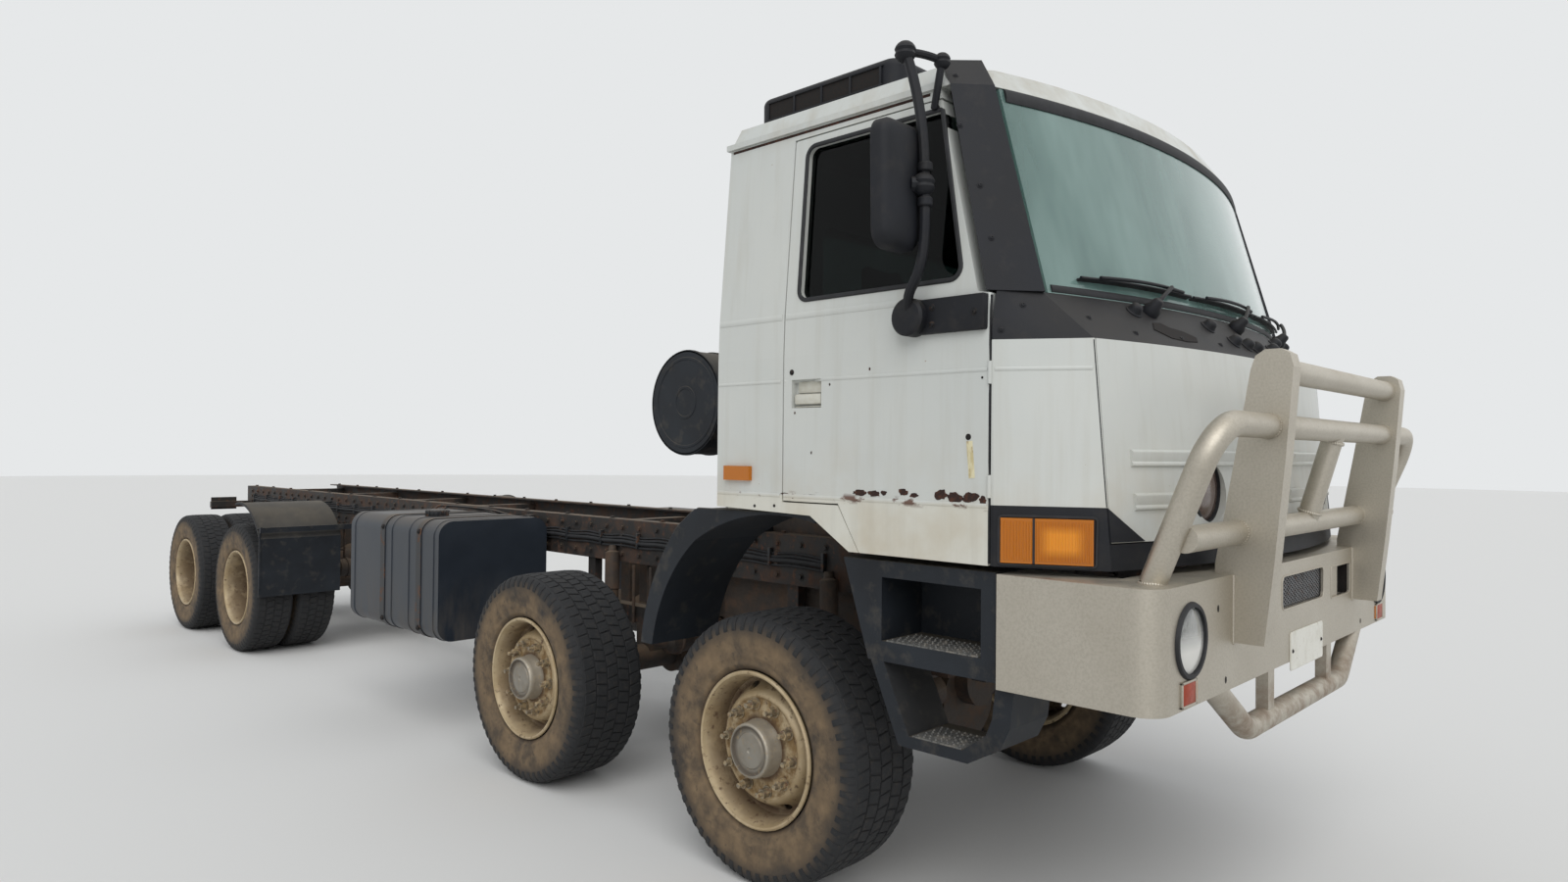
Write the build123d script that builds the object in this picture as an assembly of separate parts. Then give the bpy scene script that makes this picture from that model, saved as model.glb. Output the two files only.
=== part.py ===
from build123d import *
from math import hypot
import os

# Cab chassis truck with four axles: two steered axles in front, two axles with twin wheels
# behind. Millimetres, +Z up, the truck faces -Y, so its right side is -X. The origin is on
# the ground below the middle of its box. "forward" below is the distance ahead of axle 1.

# Driving sizes
FRONT_AXLE_GAP = 1650
MIDDLE_GAP = 4410
REAR_AXLE_GAP = 1390
REAR_OVERHANG = 750     # frame behind the last axle
BUMPER_FACE = 1600      # front of the bumper, ahead of axle 1
BAR_DEPTH = 170         # bull bar ahead of the bumper
BODY_HALF = 1250        # half the width over the cab and the bumper
RAIL_TOP = 1270
SEAT_GAP = 0.3          # between a piece and what it sits on
DOOR_GAP = 8            # around each door
PANEL_GAP = 4           # between fixed cab panels

AXLES = [
    0,
    -FRONT_AXLE_GAP,
    -FRONT_AXLE_GAP - MIDDLE_GAP,
    -FRONT_AXLE_GAP - MIDDLE_GAP - REAR_AXLE_GAP,
]
BAR_REACH = BUMPER_FACE + BAR_DEPTH
TAIL = AXLES[3] - REAR_OVERHANG

# Frame
RAIL_OUT = 450
RAIL_FLANGE = 80
RAIL_WEB = 10
RAIL_DEEP = 240
RAIL_LOW = RAIL_TOP - RAIL_DEEP
CROSS_DEEP = 160
CROSS_LONG = 90
CROSS_WALL = 10

# Wheels
TYRE_R = 518
TYRE_SHOULDER = 38
RIM_SEAT_R = 286
RIM_WALL = 14
FLANGE_R = RIM_SEAT_R + 14
FLANGE_THICK = 8
RIM_INSET = 12          # of the rim's flange behind the tyre's face
REAR_TYRE_W = 295
TWIN_GAP = 30
TYRE_RAIL_GAP = 140
REAR_TYRE_IN = RAIL_OUT + TYRE_RAIL_GAP
REAR_TYRE_OUT = REAR_TYRE_IN + 2 * REAR_TYRE_W + TWIN_GAP
FRONT_TYRE_W = 385
FRONT_TYRE_OUT = REAR_TYRE_OUT + 10
NUT_RING_R = 212
NUT_RING_THICK = 30
HUB_CAP_R = 105
HUB_CAP_OUT = FRONT_TYRE_OUT + 8
STUB_R = 45
REAR_STUB_R = 60
BEARING_GAP = 0.5
DISC_OUT = FRONT_TYRE_OUT - 95
DISC_IN = DISC_OUT - 20
REAR_DISC_X = REAR_TYRE_OUT - REAR_TYRE_W - TWIN_GAP / 2
REAR_DISC = 22
REAR_RING_THICK = 18
REAR_HUB_R = 120
REAR_STUB_OUT = REAR_DISC_X + 85
REAR_HUB_OUT = REAR_STUB_OUT + 30

# Axles and steering
KINGPIN_X = FRONT_TYRE_OUT - 270
KINGPIN_R = 60
KINGPIN_HALF = 150
HALF_AXLE_R = 70
KNUCKLE_OUT = KINGPIN_X + 100
KNUCKLE_PLATE = 30
KNUCKLE_BOSS = 16
LUG_THICK = 44
STUB_OUT = KNUCKLE_OUT + 140
BACKBONE_R = 120
BACKBONE_Z = TYRE_R + 122
HOUSING_R = 200
HOUSING_LONG = 380
HOUSING_Z = TYRE_R + 27
BOSS_R = 110
BOSS_X = 260
BRAKE_R = 205
BRAKE_WIDE = 90
BRAKE_OUT = REAR_TYRE_IN - 20
PEDESTAL_HALF = 100

# Springs
SPRING_WIDE = 80
SPRING_X = RAIL_OUT - SPRING_WIDE / 2
SPRING_SEAT_Z = TYRE_R + 182
SPRING_PAD = 60
FRONT_SPRING_HALF = 560
REAR_SPRING_HALF = REAR_AXLE_GAP / 2 + 90
LEAVES = 5
LEAF_STACK = 90
SPRING_FOOT = 35
SPRING_POST = 25
REAR_SADDLE = 110

# Cab heights
BUMPER_TALL = 350
BUMPER_Z1 = RAIL_TOP + 30
BUMPER_Z0 = BUMPER_Z1 - BUMPER_TALL
SKIRT_Z = BUMPER_Z1 + 22
VALANCE_Z = SKIRT_Z + 78
ARCH_Z = SKIRT_Z + 115
FLOOR_Z = SKIRT_Z + 118
SILL_Z = SKIRT_Z + 158
LAMP_TOP_Z = SKIRT_Z + 186
SCUTTLE_Z = SKIRT_Z + 693
BELT_Z = SCUTTLE_Z + 155
GUTTER_Z = BELT_Z + 692
ROOF_Z = GUTTER_Z + 138
DOOR_TOP = GUTTER_Z - 32
FLOOR_THICK = 60
SEAT_FLOOR = FLOOR_Z + FLOOR_THICK + SEAT_GAP

# Cab in plan
CAB_WALL = 60
CAB_REAR = -165
CAB_NOSE = BUMPER_FACE - 35
DOOR_REAR = 190
DOOR_FRONT = CAB_NOSE - 489
ARCH_FRONT = 330
DOOR_HEEL = ARCH_FRONT + 130
FLAP_HALF = BODY_HALF - 160
HINGE_F = DOOR_FRONT - 4
HINGE_R = 7
HINGE_LONG = 70
HINGE_Z = (SILL_Z + 50, SILL_Z + 400)
GLASS_THICK = 6
GLASS_INSET = 22
GLASS_EDGE = 24
PILLAR_STEP = 2

# Limits of the cutting blocks, clear of the whole truck
BESIDE = BODY_HALF + 150
AHEAD = BUMPER_FACE + 200
ABOVE = ROOF_Z + 1000

# Bumper and bull bar
BUMPER_REAR = DOOR_FRONT + 24
BUMPER_CORNER = 80
BUMPER_WALL = 8
BUMPER_LIP = 190
RAIL_FRONT = BUMPER_FACE - BUMPER_LIP - 30
LAMP_X = BODY_HALF - 217
LAMP_Z = BUMPER_Z0 + 190
LAMP_R = 100
LAMP_DEEP = 70
LAMP_RING = 10
CAB_LAMP_X = 600
CAB_LAMP_Z = SKIRT_Z + 228
CAB_LAMP_FACE = CAB_NOSE - 77
CAB_LAMP_DEEP = 54
MARKER_HALF = 45
MARKER_Z0 = BUMPER_Z0 + 18
MARKER_Z1 = MARKER_Z0 + 54
BAR_TUBE_R = 38
BAR_POST_R = 35
UPRIGHT_OUT = 700
UPRIGHT_WIDE = 70
LEG_SETBACK = 80        # of the bar's feet behind the bumper's face
LEG_FOOT_F = BUMPER_FACE - LEG_SETBACK
UPPER_X = 1105
UPPER_F = BAR_REACH - 70
UPPER_Z = BUMPER_Z1 + 457
UPPER_BEND = 130
TOP_TUBE_F = BAR_REACH - 58
TOP_TUBE_Z = UPPER_Z + 173
MID_Z = BUMPER_Z1 + 130
MID_F = BUMPER_FACE + 8
LOWER_Z = BUMPER_Z0 - 165
LOWER_F = BUMPER_FACE - 25
LOWER_STRUT_X = 330

# Plan of the cab at each level. Columns: height, half width, rear wall, front end of the
# side, half width at the corner, forward at the corner, forward of the nose.
CAB_PLAN = [
    (SKIRT_Z, BODY_HALF, CAB_REAR, DOOR_FRONT + 14, BODY_HALF - 150, CAB_NOSE - 170, CAB_NOSE),
    (SCUTTLE_Z, BODY_HALF, CAB_REAR, DOOR_FRONT + 6, BODY_HALF - 150, CAB_NOSE - 230, CAB_NOSE - 80),
    (BELT_Z, BODY_HALF - 5, CAB_REAR, DOOR_FRONT - 14, BODY_HALF - 150, CAB_NOSE - 400, CAB_NOSE - 225),
    (GUTTER_Z + 8, BODY_HALF - 60, CAB_REAR, DOOR_FRONT - 196, BODY_HALF - 170, CAB_NOSE - 595,
     CAB_NOSE - 415),
    (GUTTER_Z + 93, BODY_HALF - 100, CAB_REAR + 15, DOOR_FRONT - 276, BODY_HALF - 250, CAB_NOSE - 640,
     CAB_NOSE - 470),
    (ROOF_Z, BODY_HALF - 250, CAB_REAR + 125, DOOR_FRONT - 436, BODY_HALF - 420, CAB_NOSE - 785,
     CAB_NOSE - 635),
]

# Windscreen pillar. Columns: row of CAB_PLAN, height above it, then the outward and forward
# offsets of four corners: outer rear and inner rear from the side's end, outer front and
# inner front from the corner.
PILLAR = [
    (2, SEAT_GAP, (7, -4), (-53, -24), (6, 13), (-38, -35)),
    (3, -2, (8, 2), (-50, -18), (6, 10), (-38, -40)),
    (4, 30, (-14, 0), (-70, -20), (40, -25), (0, -55)),
]

# Cab mounts on the frame rails, in front and behind
CAB_MOUNTS_F = (CAB_REAR + 90, DOOR_FRONT + 100)
CAB_MOUNT_HALF = 45
CAB_MOUNT_R = 30
CAB_MOUNT_RUBBER = 60

# Power train, seen only from below and behind
ENGINE_HALF = 360
ENGINE_FRONT = 250
ENGINE_REAR = ENGINE_FRONT - 1330
ENGINE_TOP = FLOOR_Z - 40
GEARBOX_HALF = 210
GEARBOX_LONG = 920
GEARBOX_TALL = 250

# Crossmembers: the forward place of each one's rear edge
CROSS_F = [
    RAIL_FRONT - 200,
    ENGINE_FRONT + 50,
    ENGINE_REAR - CROSS_LONG - 10,
    AXLES[1] - 680,
    (AXLES[1] + AXLES[2]) / 2 - 445,
    AXLES[2] + 660,
    (AXLES[2] + AXLES[3]) / 2 - CROSS_LONG / 2,
    TAIL + 110,
]
# Bolt holes in the rail webs for the body brackets
MOUNT_F = CROSS_F[4] - 600
MOUNT_Z = RAIL_TOP - 120
MOUNT_SPACING = (100, 80)
MOUNT_HOLE_R = 8

# Tank, battery box and air tanks
TANK_IN = RAIL_OUT + 50
TANK_OUT = TANK_IN + 705
TANK_FRONT = AXLES[1] - 910
TANK_REAR = TANK_FRONT - 1200
TANK_Z1 = RAIL_TOP - 20
TANK_Z0 = TANK_Z1 - 690
TANK_CORNER = 90
TANK_CAP_R = 62
TANK_CAP_TALL = 38
STRAP_F = (TANK_FRONT - 720, TANK_FRONT - 240)
STRAP_WIDE = 60
STRAP_THICK = 5
BATTERY_OUT = TANK_IN + 650
BATTERY_FRONT = TANK_FRONT
BATTERY_REAR = BATTERY_FRONT - 780
BATTERY_Z1 = RAIL_TOP - 50
BATTERY_Z0 = BATTERY_Z1 - 580
AIR_TANK_R = 125
AIR_TANK_HALF = 330
AIR_TANK_X = RAIL_OUT + 45 + AIR_TANK_R
AIR_TANK_Z = RAIL_TOP - 180
AIR_TANKS_F = (BATTERY_REAR - 400, BATTERY_REAR - 930)

# Mudguards and steps
GUARD_OUT = FRONT_TYRE_OUT + 2
GUARD_WIDE = 370
GUARD_THICK = 28
REAR_GUARD_F = AXLES[2] + 580
REAR_GUARD_WIDE = 2 * REAR_TYRE_W + TWIN_GAP
REAR_GUARD_TOP = 2 * TYRE_R + 164
REAR_GUARD_LOW = TYRE_R - 18
REAR_GUARD_THICK = 12
GUARD_BAR_Z = RAIL_LOW - 30
STEP_TOP = BUMPER_Z1
STEP_LOW = BUMPER_Z0 + 12
STEP_OUT = BODY_HALF - 25
STEP_WIDE = 285
STEP_IN = STEP_OUT - STEP_WIDE
STEP_DEEP = 230
STEP_HEEL = ARCH_FRONT + 140
STEP_FRONT = DOOR_FRONT + 6

# Side window. Columns: forward, height.
WINDOW = [
    (DOOR_REAR + 72, BELT_Z + 52),
    (DOOR_FRONT - 118, BELT_Z + 52),
    (DOOR_FRONT - 210, DOOR_TOP - 44),
    (DOOR_REAR + 72, DOOR_TOP - 44),
]
WINDOW_CORNER = 35
REAR_PANE_HALF = 700
REAR_PANE_Z = (BELT_Z + 60, BELT_Z + 470)
REAR_PANE_CORNER = 60

# Openings in the bumper's face. Columns: x from, x to, height from, height to, corner radius.
BUMPER_OPENINGS = [
    (-235, 235, BUMPER_Z0 + 190, BUMPER_Z0 + 300, 22),
    (-590, -340, BUMPER_Z0 + 172, BUMPER_Z0 + 290, 10),
    (340, 590, BUMPER_Z0 + 172, BUMPER_Z0 + 290, 10),
]

# Lower edge and underside of the hanging step. Columns: ahead of STEP_FRONT, below STEP_LOW.
HANGING_STEP = [
    (-487, 0), (-367, 268), (-97, 268), (18, 202), (53, 132), (68, 0),
    (3, 0), (-10, 112), (-32, 167), (-117, 230), (-325, 230), (-432, 0),
]

# Bull bar's upright seen from the side. Columns: forward, height.
UPRIGHT = [
    (BUMPER_FACE + SEAT_GAP, BUMPER_Z0 + 140),
    (BUMPER_FACE + 90, BUMPER_Z0 + 140),
    (BUMPER_FACE + 117, BUMPER_Z1 + 30),
    (BAR_REACH - 21, UPPER_Z - 97),
    (BAR_REACH, TOP_TUBE_Z + 5),
    (BAR_REACH - 10, TOP_TUBE_Z + 45),
    (BAR_REACH - 35, TOP_TUBE_Z + 60),
    (BAR_REACH - 80, TOP_TUBE_Z + 60),
    (BAR_REACH - 108, TOP_TUBE_Z + 42),
    (BAR_REACH - 122, TOP_TUBE_Z),
    (BAR_REACH - 167, UPPER_Z - 97),
    (LEG_FOOT_F + 25, BUMPER_Z1 + 30),
    (LEG_FOOT_F + 25, BUMPER_Z1 + SEAT_GAP),
    (BUMPER_FACE + SEAT_GAP, BUMPER_Z1 + SEAT_GAP),
]

# Roof pod, cabin, air cleaner, tail and mirror
POD_HALF = BODY_HALF - 190
POD_REAR = CAB_REAR + 15
POD_LONG = 710
POD_TOP = ROOF_Z + 100
POD_LOW = ROOF_Z - 70
POD_CORNER = 60
POD_EDGE = 30
POD_SLOTS = 6
POD_SLOT_GAP = 28
SEAT_X = 560
SEAT_TOP = FLOOR_Z + 460
DASH_REAR = DOOR_FRONT - 196
DASH_TOP = SCUTTLE_Z - 25
DASH_LOW = SCUTTLE_Z - 255
STEERING_R = 225
STEERING_F = DASH_REAR - 120
STEERING_Z = SCUTTLE_Z + 65
STEERING_LEAN = 30
CLEANER_R = 240
CLEANER_F = CAB_REAR - 615
CLEANER_Z = RAIL_TOP + 620
CLEANER_OUT = 900
CLEANER_LONG = 430
DUCT_R = 65
TAIL_PLATE = 12
TAIL_BAR_Z = RAIL_TOP - 210
TOW_Z = RAIL_TOP - 120
TOW_PIN_R = 20
JAW_HALF = 70
JAW_GAP_HALF = 18
MIRROR_TUBE_X = BODY_HALF + 80
MIRROR_X = BODY_HALF + 150
MIRROR_F = DOOR_FRONT - 286
MIRROR_LOW = BELT_Z + 130
MIRROR_TALL = 405
MIRROR_HALF = 105
MIRROR_TUBE_R = 15

parts = {}


def at(forward):
    """The y of a point that lies this far ahead of axle 1."""
    return (BAR_REACH + TAIL) / 2 - forward


def block(x0, x1, f0, f1, z0, z1):
    """A box between two x, two forward distances and two heights."""
    size = (abs(x1 - x0), abs(f1 - f0), abs(z1 - z0))
    middle = ((x0 + x1) / 2, at((f0 + f1) / 2), (z0 + z1) / 2)
    return Pos(*middle) * Box(*size)


def side_prism(outline, x0, x1):
    """An outline of (forward, height) points, drawn across from x0 to x1."""
    points = [(0, at(f), z) for f, z in outline]
    face = make_face(Polyline(*points, close=True))
    return Pos(x0, 0, 0) * extrude(face, amount=x1 - x0, dir=(1, 0, 0))


def round_x(radius, x0, x1, forward, z):
    """A round bar across the truck."""
    return Pos((x0 + x1) / 2, at(forward), z) * Rot(0, 90, 0) * Cylinder(radius, abs(x1 - x0))


def round_y(radius, f0, f1, x, z):
    """A round bar along the truck."""
    return Pos(x, at((f0 + f1) / 2), z) * Rot(90, 0, 0) * Cylinder(radius, abs(f1 - f0))


def round_z(radius, z0, z1, x, forward):
    """An upright round bar."""
    return Pos(x, at(forward), (z0 + z1) / 2) * Cylinder(radius, abs(z1 - z0))


def tube(points, radius, bends):
    """A round bar along (x, forward, height) points, with an arc at each corner."""
    places = [(x, at(f), z) for x, f, z in points]
    path = FilletPolyline(*places, radius=bends) if len(places) > 2 else Line(*places)
    start = Plane(origin=path @ 0, z_dir=path % 0)
    return sweep(start * Circle(radius), path=path)


def rounded_panel(x0, x1, z0, z1, f0, f1, corner):
    """A plate that faces forward, with round corners."""
    plane = Plane(origin=((x0 + x1) / 2, at(f0), (z0 + z1) / 2), x_dir=(1, 0, 0), z_dir=(0, -1, 0))
    outline = plane * RectangleRounded(abs(x1 - x0), abs(z1 - z0), corner)
    return extrude(outline, amount=abs(f1 - f0), dir=(0, -1, 0))


def other_side(shape):
    return mirror(shape, about=Plane.YZ)


def both(shape):
    """A right-hand piece and its left-hand twin."""
    return [shape, other_side(shape)]


def keep(name, *shapes):
    """Stores the solids of one node."""
    solids = []
    for shape in shapes:
        solids += list(shape.solids())
    parts[name] = solids[0] if len(solids) == 1 else Compound(children=solids)


def cab_body(inset=0):
    """The cab's outer form, taken in by an inset on every side but the bottom."""
    sections = []
    for z, half, rear, side_end, corner_x, corner_f, nose in CAB_PLAN:
        sink = inset if z > GUTTER_Z + CAB_WALL else 0
        grow = inset * 0.75
        side_f = side_end - inset * 0.4
        rear_l = (-half + inset, at(rear + inset))
        side_l = (-half + inset, at(side_f))
        corner_l = (-corner_x + grow, at(corner_f - grow))
        nose_p = (0, at(nose - inset))
        corner_r = (corner_x - grow, at(corner_f - grow))
        side_r = (half - inset, at(side_f))
        rear_r = (half - inset, at(rear + inset))
        rim = Line(rear_r, rear_l) + Line(rear_l, side_l) + Line(side_l, corner_l)
        rim += ThreePointArc(corner_l, nose_p, corner_r)
        rim += Line(corner_r, side_r) + Line(side_r, rear_r)
        sections.append(Pos(0, 0, z - sink) * make_face(rim))
    return loft(sections, ruled=True)


def frame_nodes():
    outer = block(-RAIL_OUT, -RAIL_OUT + RAIL_FLANGE, TAIL, RAIL_FRONT, RAIL_LOW, RAIL_TOP)
    hollow = block(
        -RAIL_OUT + RAIL_WEB, -RAIL_OUT + RAIL_FLANGE + 1, TAIL - 1, RAIL_FRONT + 1,
        RAIL_LOW + RAIL_WEB, RAIL_TOP - RAIL_WEB,
    )
    rail = outer - hollow
    spacing_f, spacing_z = MOUNT_SPACING
    for forward in (MOUNT_F - spacing_f / 2, MOUNT_F + spacing_f / 2):
        for z in (MOUNT_Z - spacing_z / 2, MOUNT_Z + spacing_z / 2):
            rail -= round_x(MOUNT_HOLE_R, -RAIL_OUT - 1, -RAIL_OUT + RAIL_WEB + 1, forward, z)
    keep("frame_rails", *both(rail))

    half = RAIL_OUT - RAIL_WEB
    middle = RAIL_TOP - RAIL_DEEP / 2
    beams = []
    for forward in CROSS_F:
        beam = block(-half, half, forward, forward + CROSS_LONG,
                     middle - CROSS_DEEP / 2, middle + CROSS_DEEP / 2)
        beam -= block(-half, half, forward - 1, forward + CROSS_LONG - CROSS_WALL,
                      middle - CROSS_DEEP / 2 + CROSS_WALL, middle + CROSS_DEEP / 2 - CROSS_WALL)
        beams.append(beam)
    bar = block(-RAIL_OUT - 350, -RAIL_OUT, TAIL + 20, TAIL + 70, TAIL_BAR_Z, TAIL_BAR_Z + 60)
    bar += block(-RAIL_OUT - 340, -RAIL_OUT - 110, TAIL + TAIL_PLATE, TAIL + 20,
                 TAIL_BAR_Z - 20, TAIL_BAR_Z + 100)
    keep("crossmembers", *beams, *both(bar))


def cab_mount_nodes():
    mounts = []
    for forward in CAB_MOUNTS_F:
        seat_z = FLOOR_Z - CAB_MOUNT_RUBBER
        post = block(-RAIL_OUT + 2, -RAIL_OUT + RAIL_FLANGE - 2, forward - CAB_MOUNT_HALF,
                     forward + CAB_MOUNT_HALF, RAIL_TOP + SEAT_GAP, seat_z)
        post += round_z(CAB_MOUNT_R, seat_z - 1, FLOOR_Z - SEAT_GAP, -RAIL_OUT + RAIL_FLANGE / 2, forward)
        mounts += both(post)
    keep("cab_mounts", *mounts)


def backbone_node():
    spine = round_y(BACKBONE_R, AXLES[3] - HOUSING_LONG / 2 - 60, HOUSING_LONG / 2 + 70, 0, BACKBONE_Z)
    for forward in AXLES:
        spine += round_y(HOUSING_R, forward - HOUSING_LONG / 2, forward + HOUSING_LONG / 2,
                         0, HOUSING_Z)
        spine += round_x(BOSS_R, -BOSS_X, BOSS_X, forward, TYRE_R)
    beam_low = RAIL_TOP - RAIL_DEEP / 2 - CROSS_DEEP / 2
    for forward in CROSS_F[3:7]:
        spine += block(-PEDESTAL_HALF, PEDESTAL_HALF, forward, forward + CROSS_LONG,
                       BACKBONE_Z, beam_low)
    keep("backbone_tube", spine)


def axle_nodes():
    arms = []
    for forward in AXLES:
        arm = block(-SPRING_X - SPRING_WIDE / 2, -SPRING_X + SPRING_WIDE / 2,
                    forward - SPRING_PAD, forward + SPRING_PAD, TYRE_R, SPRING_SEAT_Z)
        if forward in AXLES[:2]:
            arm += round_x(HALF_AXLE_R, -KINGPIN_X, -BOSS_X, forward, TYRE_R)
            arm += round_z(KINGPIN_R, TYRE_R - KINGPIN_HALF, TYRE_R + KINGPIN_HALF,
                           -KINGPIN_X, forward)
        else:
            arm += round_x(HALF_AXLE_R, -REAR_DISC_X + REAR_DISC / 2, -BOSS_X, forward, TYRE_R)
            arm += round_x(BRAKE_R, -BRAKE_OUT, -BRAKE_OUT + BRAKE_WIDE, forward, TYRE_R)
            arm += round_x(REAR_STUB_R, -REAR_STUB_OUT, -BOSS_X, forward, TYRE_R)
        arms += both(arm)
    keep("half_axles", *arms)

    springs = []
    post_low = SPRING_SEAT_Z + LEAF_STACK / 2
    post_x = (-SPRING_X - SPRING_POST, -SPRING_X + SPRING_POST)
    for forward in AXLES[:2]:
        pack = leaf_pack(forward, FRONT_SPRING_HALF)
        for end in (-1, 1):
            foot = forward + end * (FRONT_SPRING_HALF - SPRING_WIDE / 2)
            pack += block(*post_x, foot - SPRING_FOOT, foot + SPRING_FOOT, post_low, RAIL_LOW)
        springs += both(pack)
    centre = (AXLES[2] + AXLES[3]) / 2
    pack = leaf_pack(centre, REAR_SPRING_HALF)
    pack += block(*post_x, centre - REAR_SADDLE, centre + REAR_SADDLE, post_low, RAIL_LOW)
    springs += both(pack)
    keep("leaf_springs", *springs)


def leaf_pack(forward, half):
    """A stack of leaves, longest on top."""
    leaf_thick = LEAF_STACK / LEAVES
    pack = None
    for n in range(LEAVES):
        reach = half * (1 - 0.16 * (LEAVES - 1 - n))
        low = SPRING_SEAT_Z + SEAT_GAP + n * leaf_thick
        leaf = block(-SPRING_X - SPRING_WIDE / 2, -SPRING_X + SPRING_WIDE / 2,
                     forward - reach, forward + reach, low, low + leaf_thick)
        pack = leaf if pack is None else pack + leaf
    return pack


def power_nodes():
    z0 = BACKBONE_Z + BACKBONE_R + SEAT_GAP
    engine = block(-ENGINE_HALF, ENGINE_HALF, ENGINE_REAR, ENGINE_FRONT, z0, ENGINE_TOP)
    engine += block(-GEARBOX_HALF, GEARBOX_HALF, ENGINE_REAR - GEARBOX_LONG, ENGINE_REAR,
                    z0, z0 + GEARBOX_TALL)
    keep("engine_block", engine)


def round_box(x0, x1, f0, f1, z0, z1, corner):
    """A box whose edges along the truck are round."""
    shape = block(x0, x1, f0, f1, z0, z1)
    return fillet(shape.edges().filter_by(Axis.Y), corner)


def tank_shape(grow):
    return round_box(-TANK_OUT - grow, -TANK_IN + grow, TANK_REAR, TANK_FRONT,
                     TANK_Z0 - grow, TANK_Z1 + grow, TANK_CORNER + grow)


def tank_nodes():
    strap_half = STRAP_WIDE / 2
    sleeve = tank_shape(STRAP_THICK) - tank_shape(SEAT_GAP)
    straps = []
    for forward in STRAP_F:
        band = sleeve & block(-BESIDE, 0, forward - strap_half, forward + strap_half, 0, RAIL_TOP)
        arm = block(-TANK_IN + STRAP_THICK, -RAIL_OUT, forward - strap_half, forward + strap_half,
                    RAIL_LOW, TANK_Z1)
        strut = block(-TANK_IN + STRAP_THICK, -RAIL_OUT, forward - 25, forward + 25,
                      TANK_Z0 + TANK_CORNER, RAIL_LOW)
        straps.append(band + arm + strut)
    cap_x = -(TANK_OUT + TANK_IN) / 2 - 120
    cap_f = (STRAP_F[0] + STRAP_F[1]) / 2 - 10
    tank = tank_shape(0)
    tank += round_z(TANK_CAP_R, TANK_Z1 - 5, TANK_Z1 + TANK_CAP_TALL, cap_x, cap_f)
    keep("fuel_tank", tank)
    keep("tank_straps", *straps)

    box = round_box(TANK_IN, BATTERY_OUT, BATTERY_REAR, BATTERY_FRONT, BATTERY_Z0, BATTERY_Z1, 20)
    box += block(RAIL_OUT, TANK_IN, BATTERY_REAR + 80, BATTERY_FRONT - 80, BATTERY_Z1 - 160,
                 BATTERY_Z1 - 20)
    keep("battery_box", box)

    bottles = []
    for forward in AIR_TANKS_F:
        drum = round_y(AIR_TANK_R, forward - AIR_TANK_HALF, forward + AIR_TANK_HALF,
                       AIR_TANK_X, AIR_TANK_Z)
        drum += block(RAIL_OUT, AIR_TANK_X - AIR_TANK_R / 2, forward - 60, forward + 60,
                      AIR_TANK_Z - 40, AIR_TANK_Z + 40)
        bottles.append(drum)
    keep("air_tanks", *bottles)


def mudguard_nodes():
    top = ARCH_Z - 1
    tail_f = -ARCH_FRONT
    shell = Line((0, at(ARCH_FRONT), top), (0, at(tail_f), top - 6))
    shell += Line((0, at(tail_f), top - 6), (0, at(tail_f - 110), top - 86))
    shell += ThreePointArc((0, at(tail_f - 110), top - 86), (0, at(tail_f - 260), top - 306),
                           (0, at(tail_f - 345), top - 596))
    shell += Line((0, at(tail_f - 345), top - 596), (0, at(tail_f - 270), top - 596))
    shell += ThreePointArc((0, at(tail_f - 270), top - 596), (0, at(tail_f - 170), top - 326),
                           (0, at(tail_f), top - 136))
    shell += ThreePointArc((0, at(tail_f), top - 136), (0, at(tail_f + 210), top - 44),
                           (0, at(ARCH_FRONT), top - GUARD_THICK))
    shell += Line((0, at(ARCH_FRONT), top - GUARD_THICK), (0, at(ARCH_FRONT), top))
    front = Pos(-GUARD_OUT, 0, 0) * extrude(make_face(shell), amount=GUARD_WIDE, dir=(1, 0, 0))

    axle, flap, thick = AXLES[2], REAR_GUARD_F, REAR_GUARD_THICK
    high = REAR_GUARD_TOP
    bend = high - 250
    shell = Line((0, at(axle), high), (0, at(axle), high - thick))
    shell += ThreePointArc((0, at(axle), high - thick), (0, at(flap - 190), high - 75),
                           (0, at(flap - thick), bend))
    shell += Line((0, at(flap - thick), bend), (0, at(flap - thick), REAR_GUARD_LOW))
    shell += Line((0, at(flap - thick), REAR_GUARD_LOW), (0, at(flap), REAR_GUARD_LOW))
    shell += Line((0, at(flap), REAR_GUARD_LOW), (0, at(flap), bend))
    shell += ThreePointArc((0, at(flap), bend), (0, at(flap - 182), high - 63), (0, at(axle), high))
    rear = extrude(make_face(shell), amount=REAR_GUARD_WIDE, dir=(1, 0, 0))
    rear = Pos(-REAR_TYRE_OUT, 0, 0) * rear
    inner = -REAR_TYRE_IN
    rear += block(-REAR_TYRE_OUT, inner, flap, flap + 25, GUARD_BAR_Z, GUARD_BAR_Z + 40)
    rear += block(inner - 30, -RAIL_OUT, flap - thick, flap + 25, GUARD_BAR_Z, GUARD_BAR_Z + 40)
    rear += block(inner - 30, -RAIL_OUT, axle - 20, axle + 20, high - thick, high)
    keep("mudguards", *both(front), *both(rear))


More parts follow.
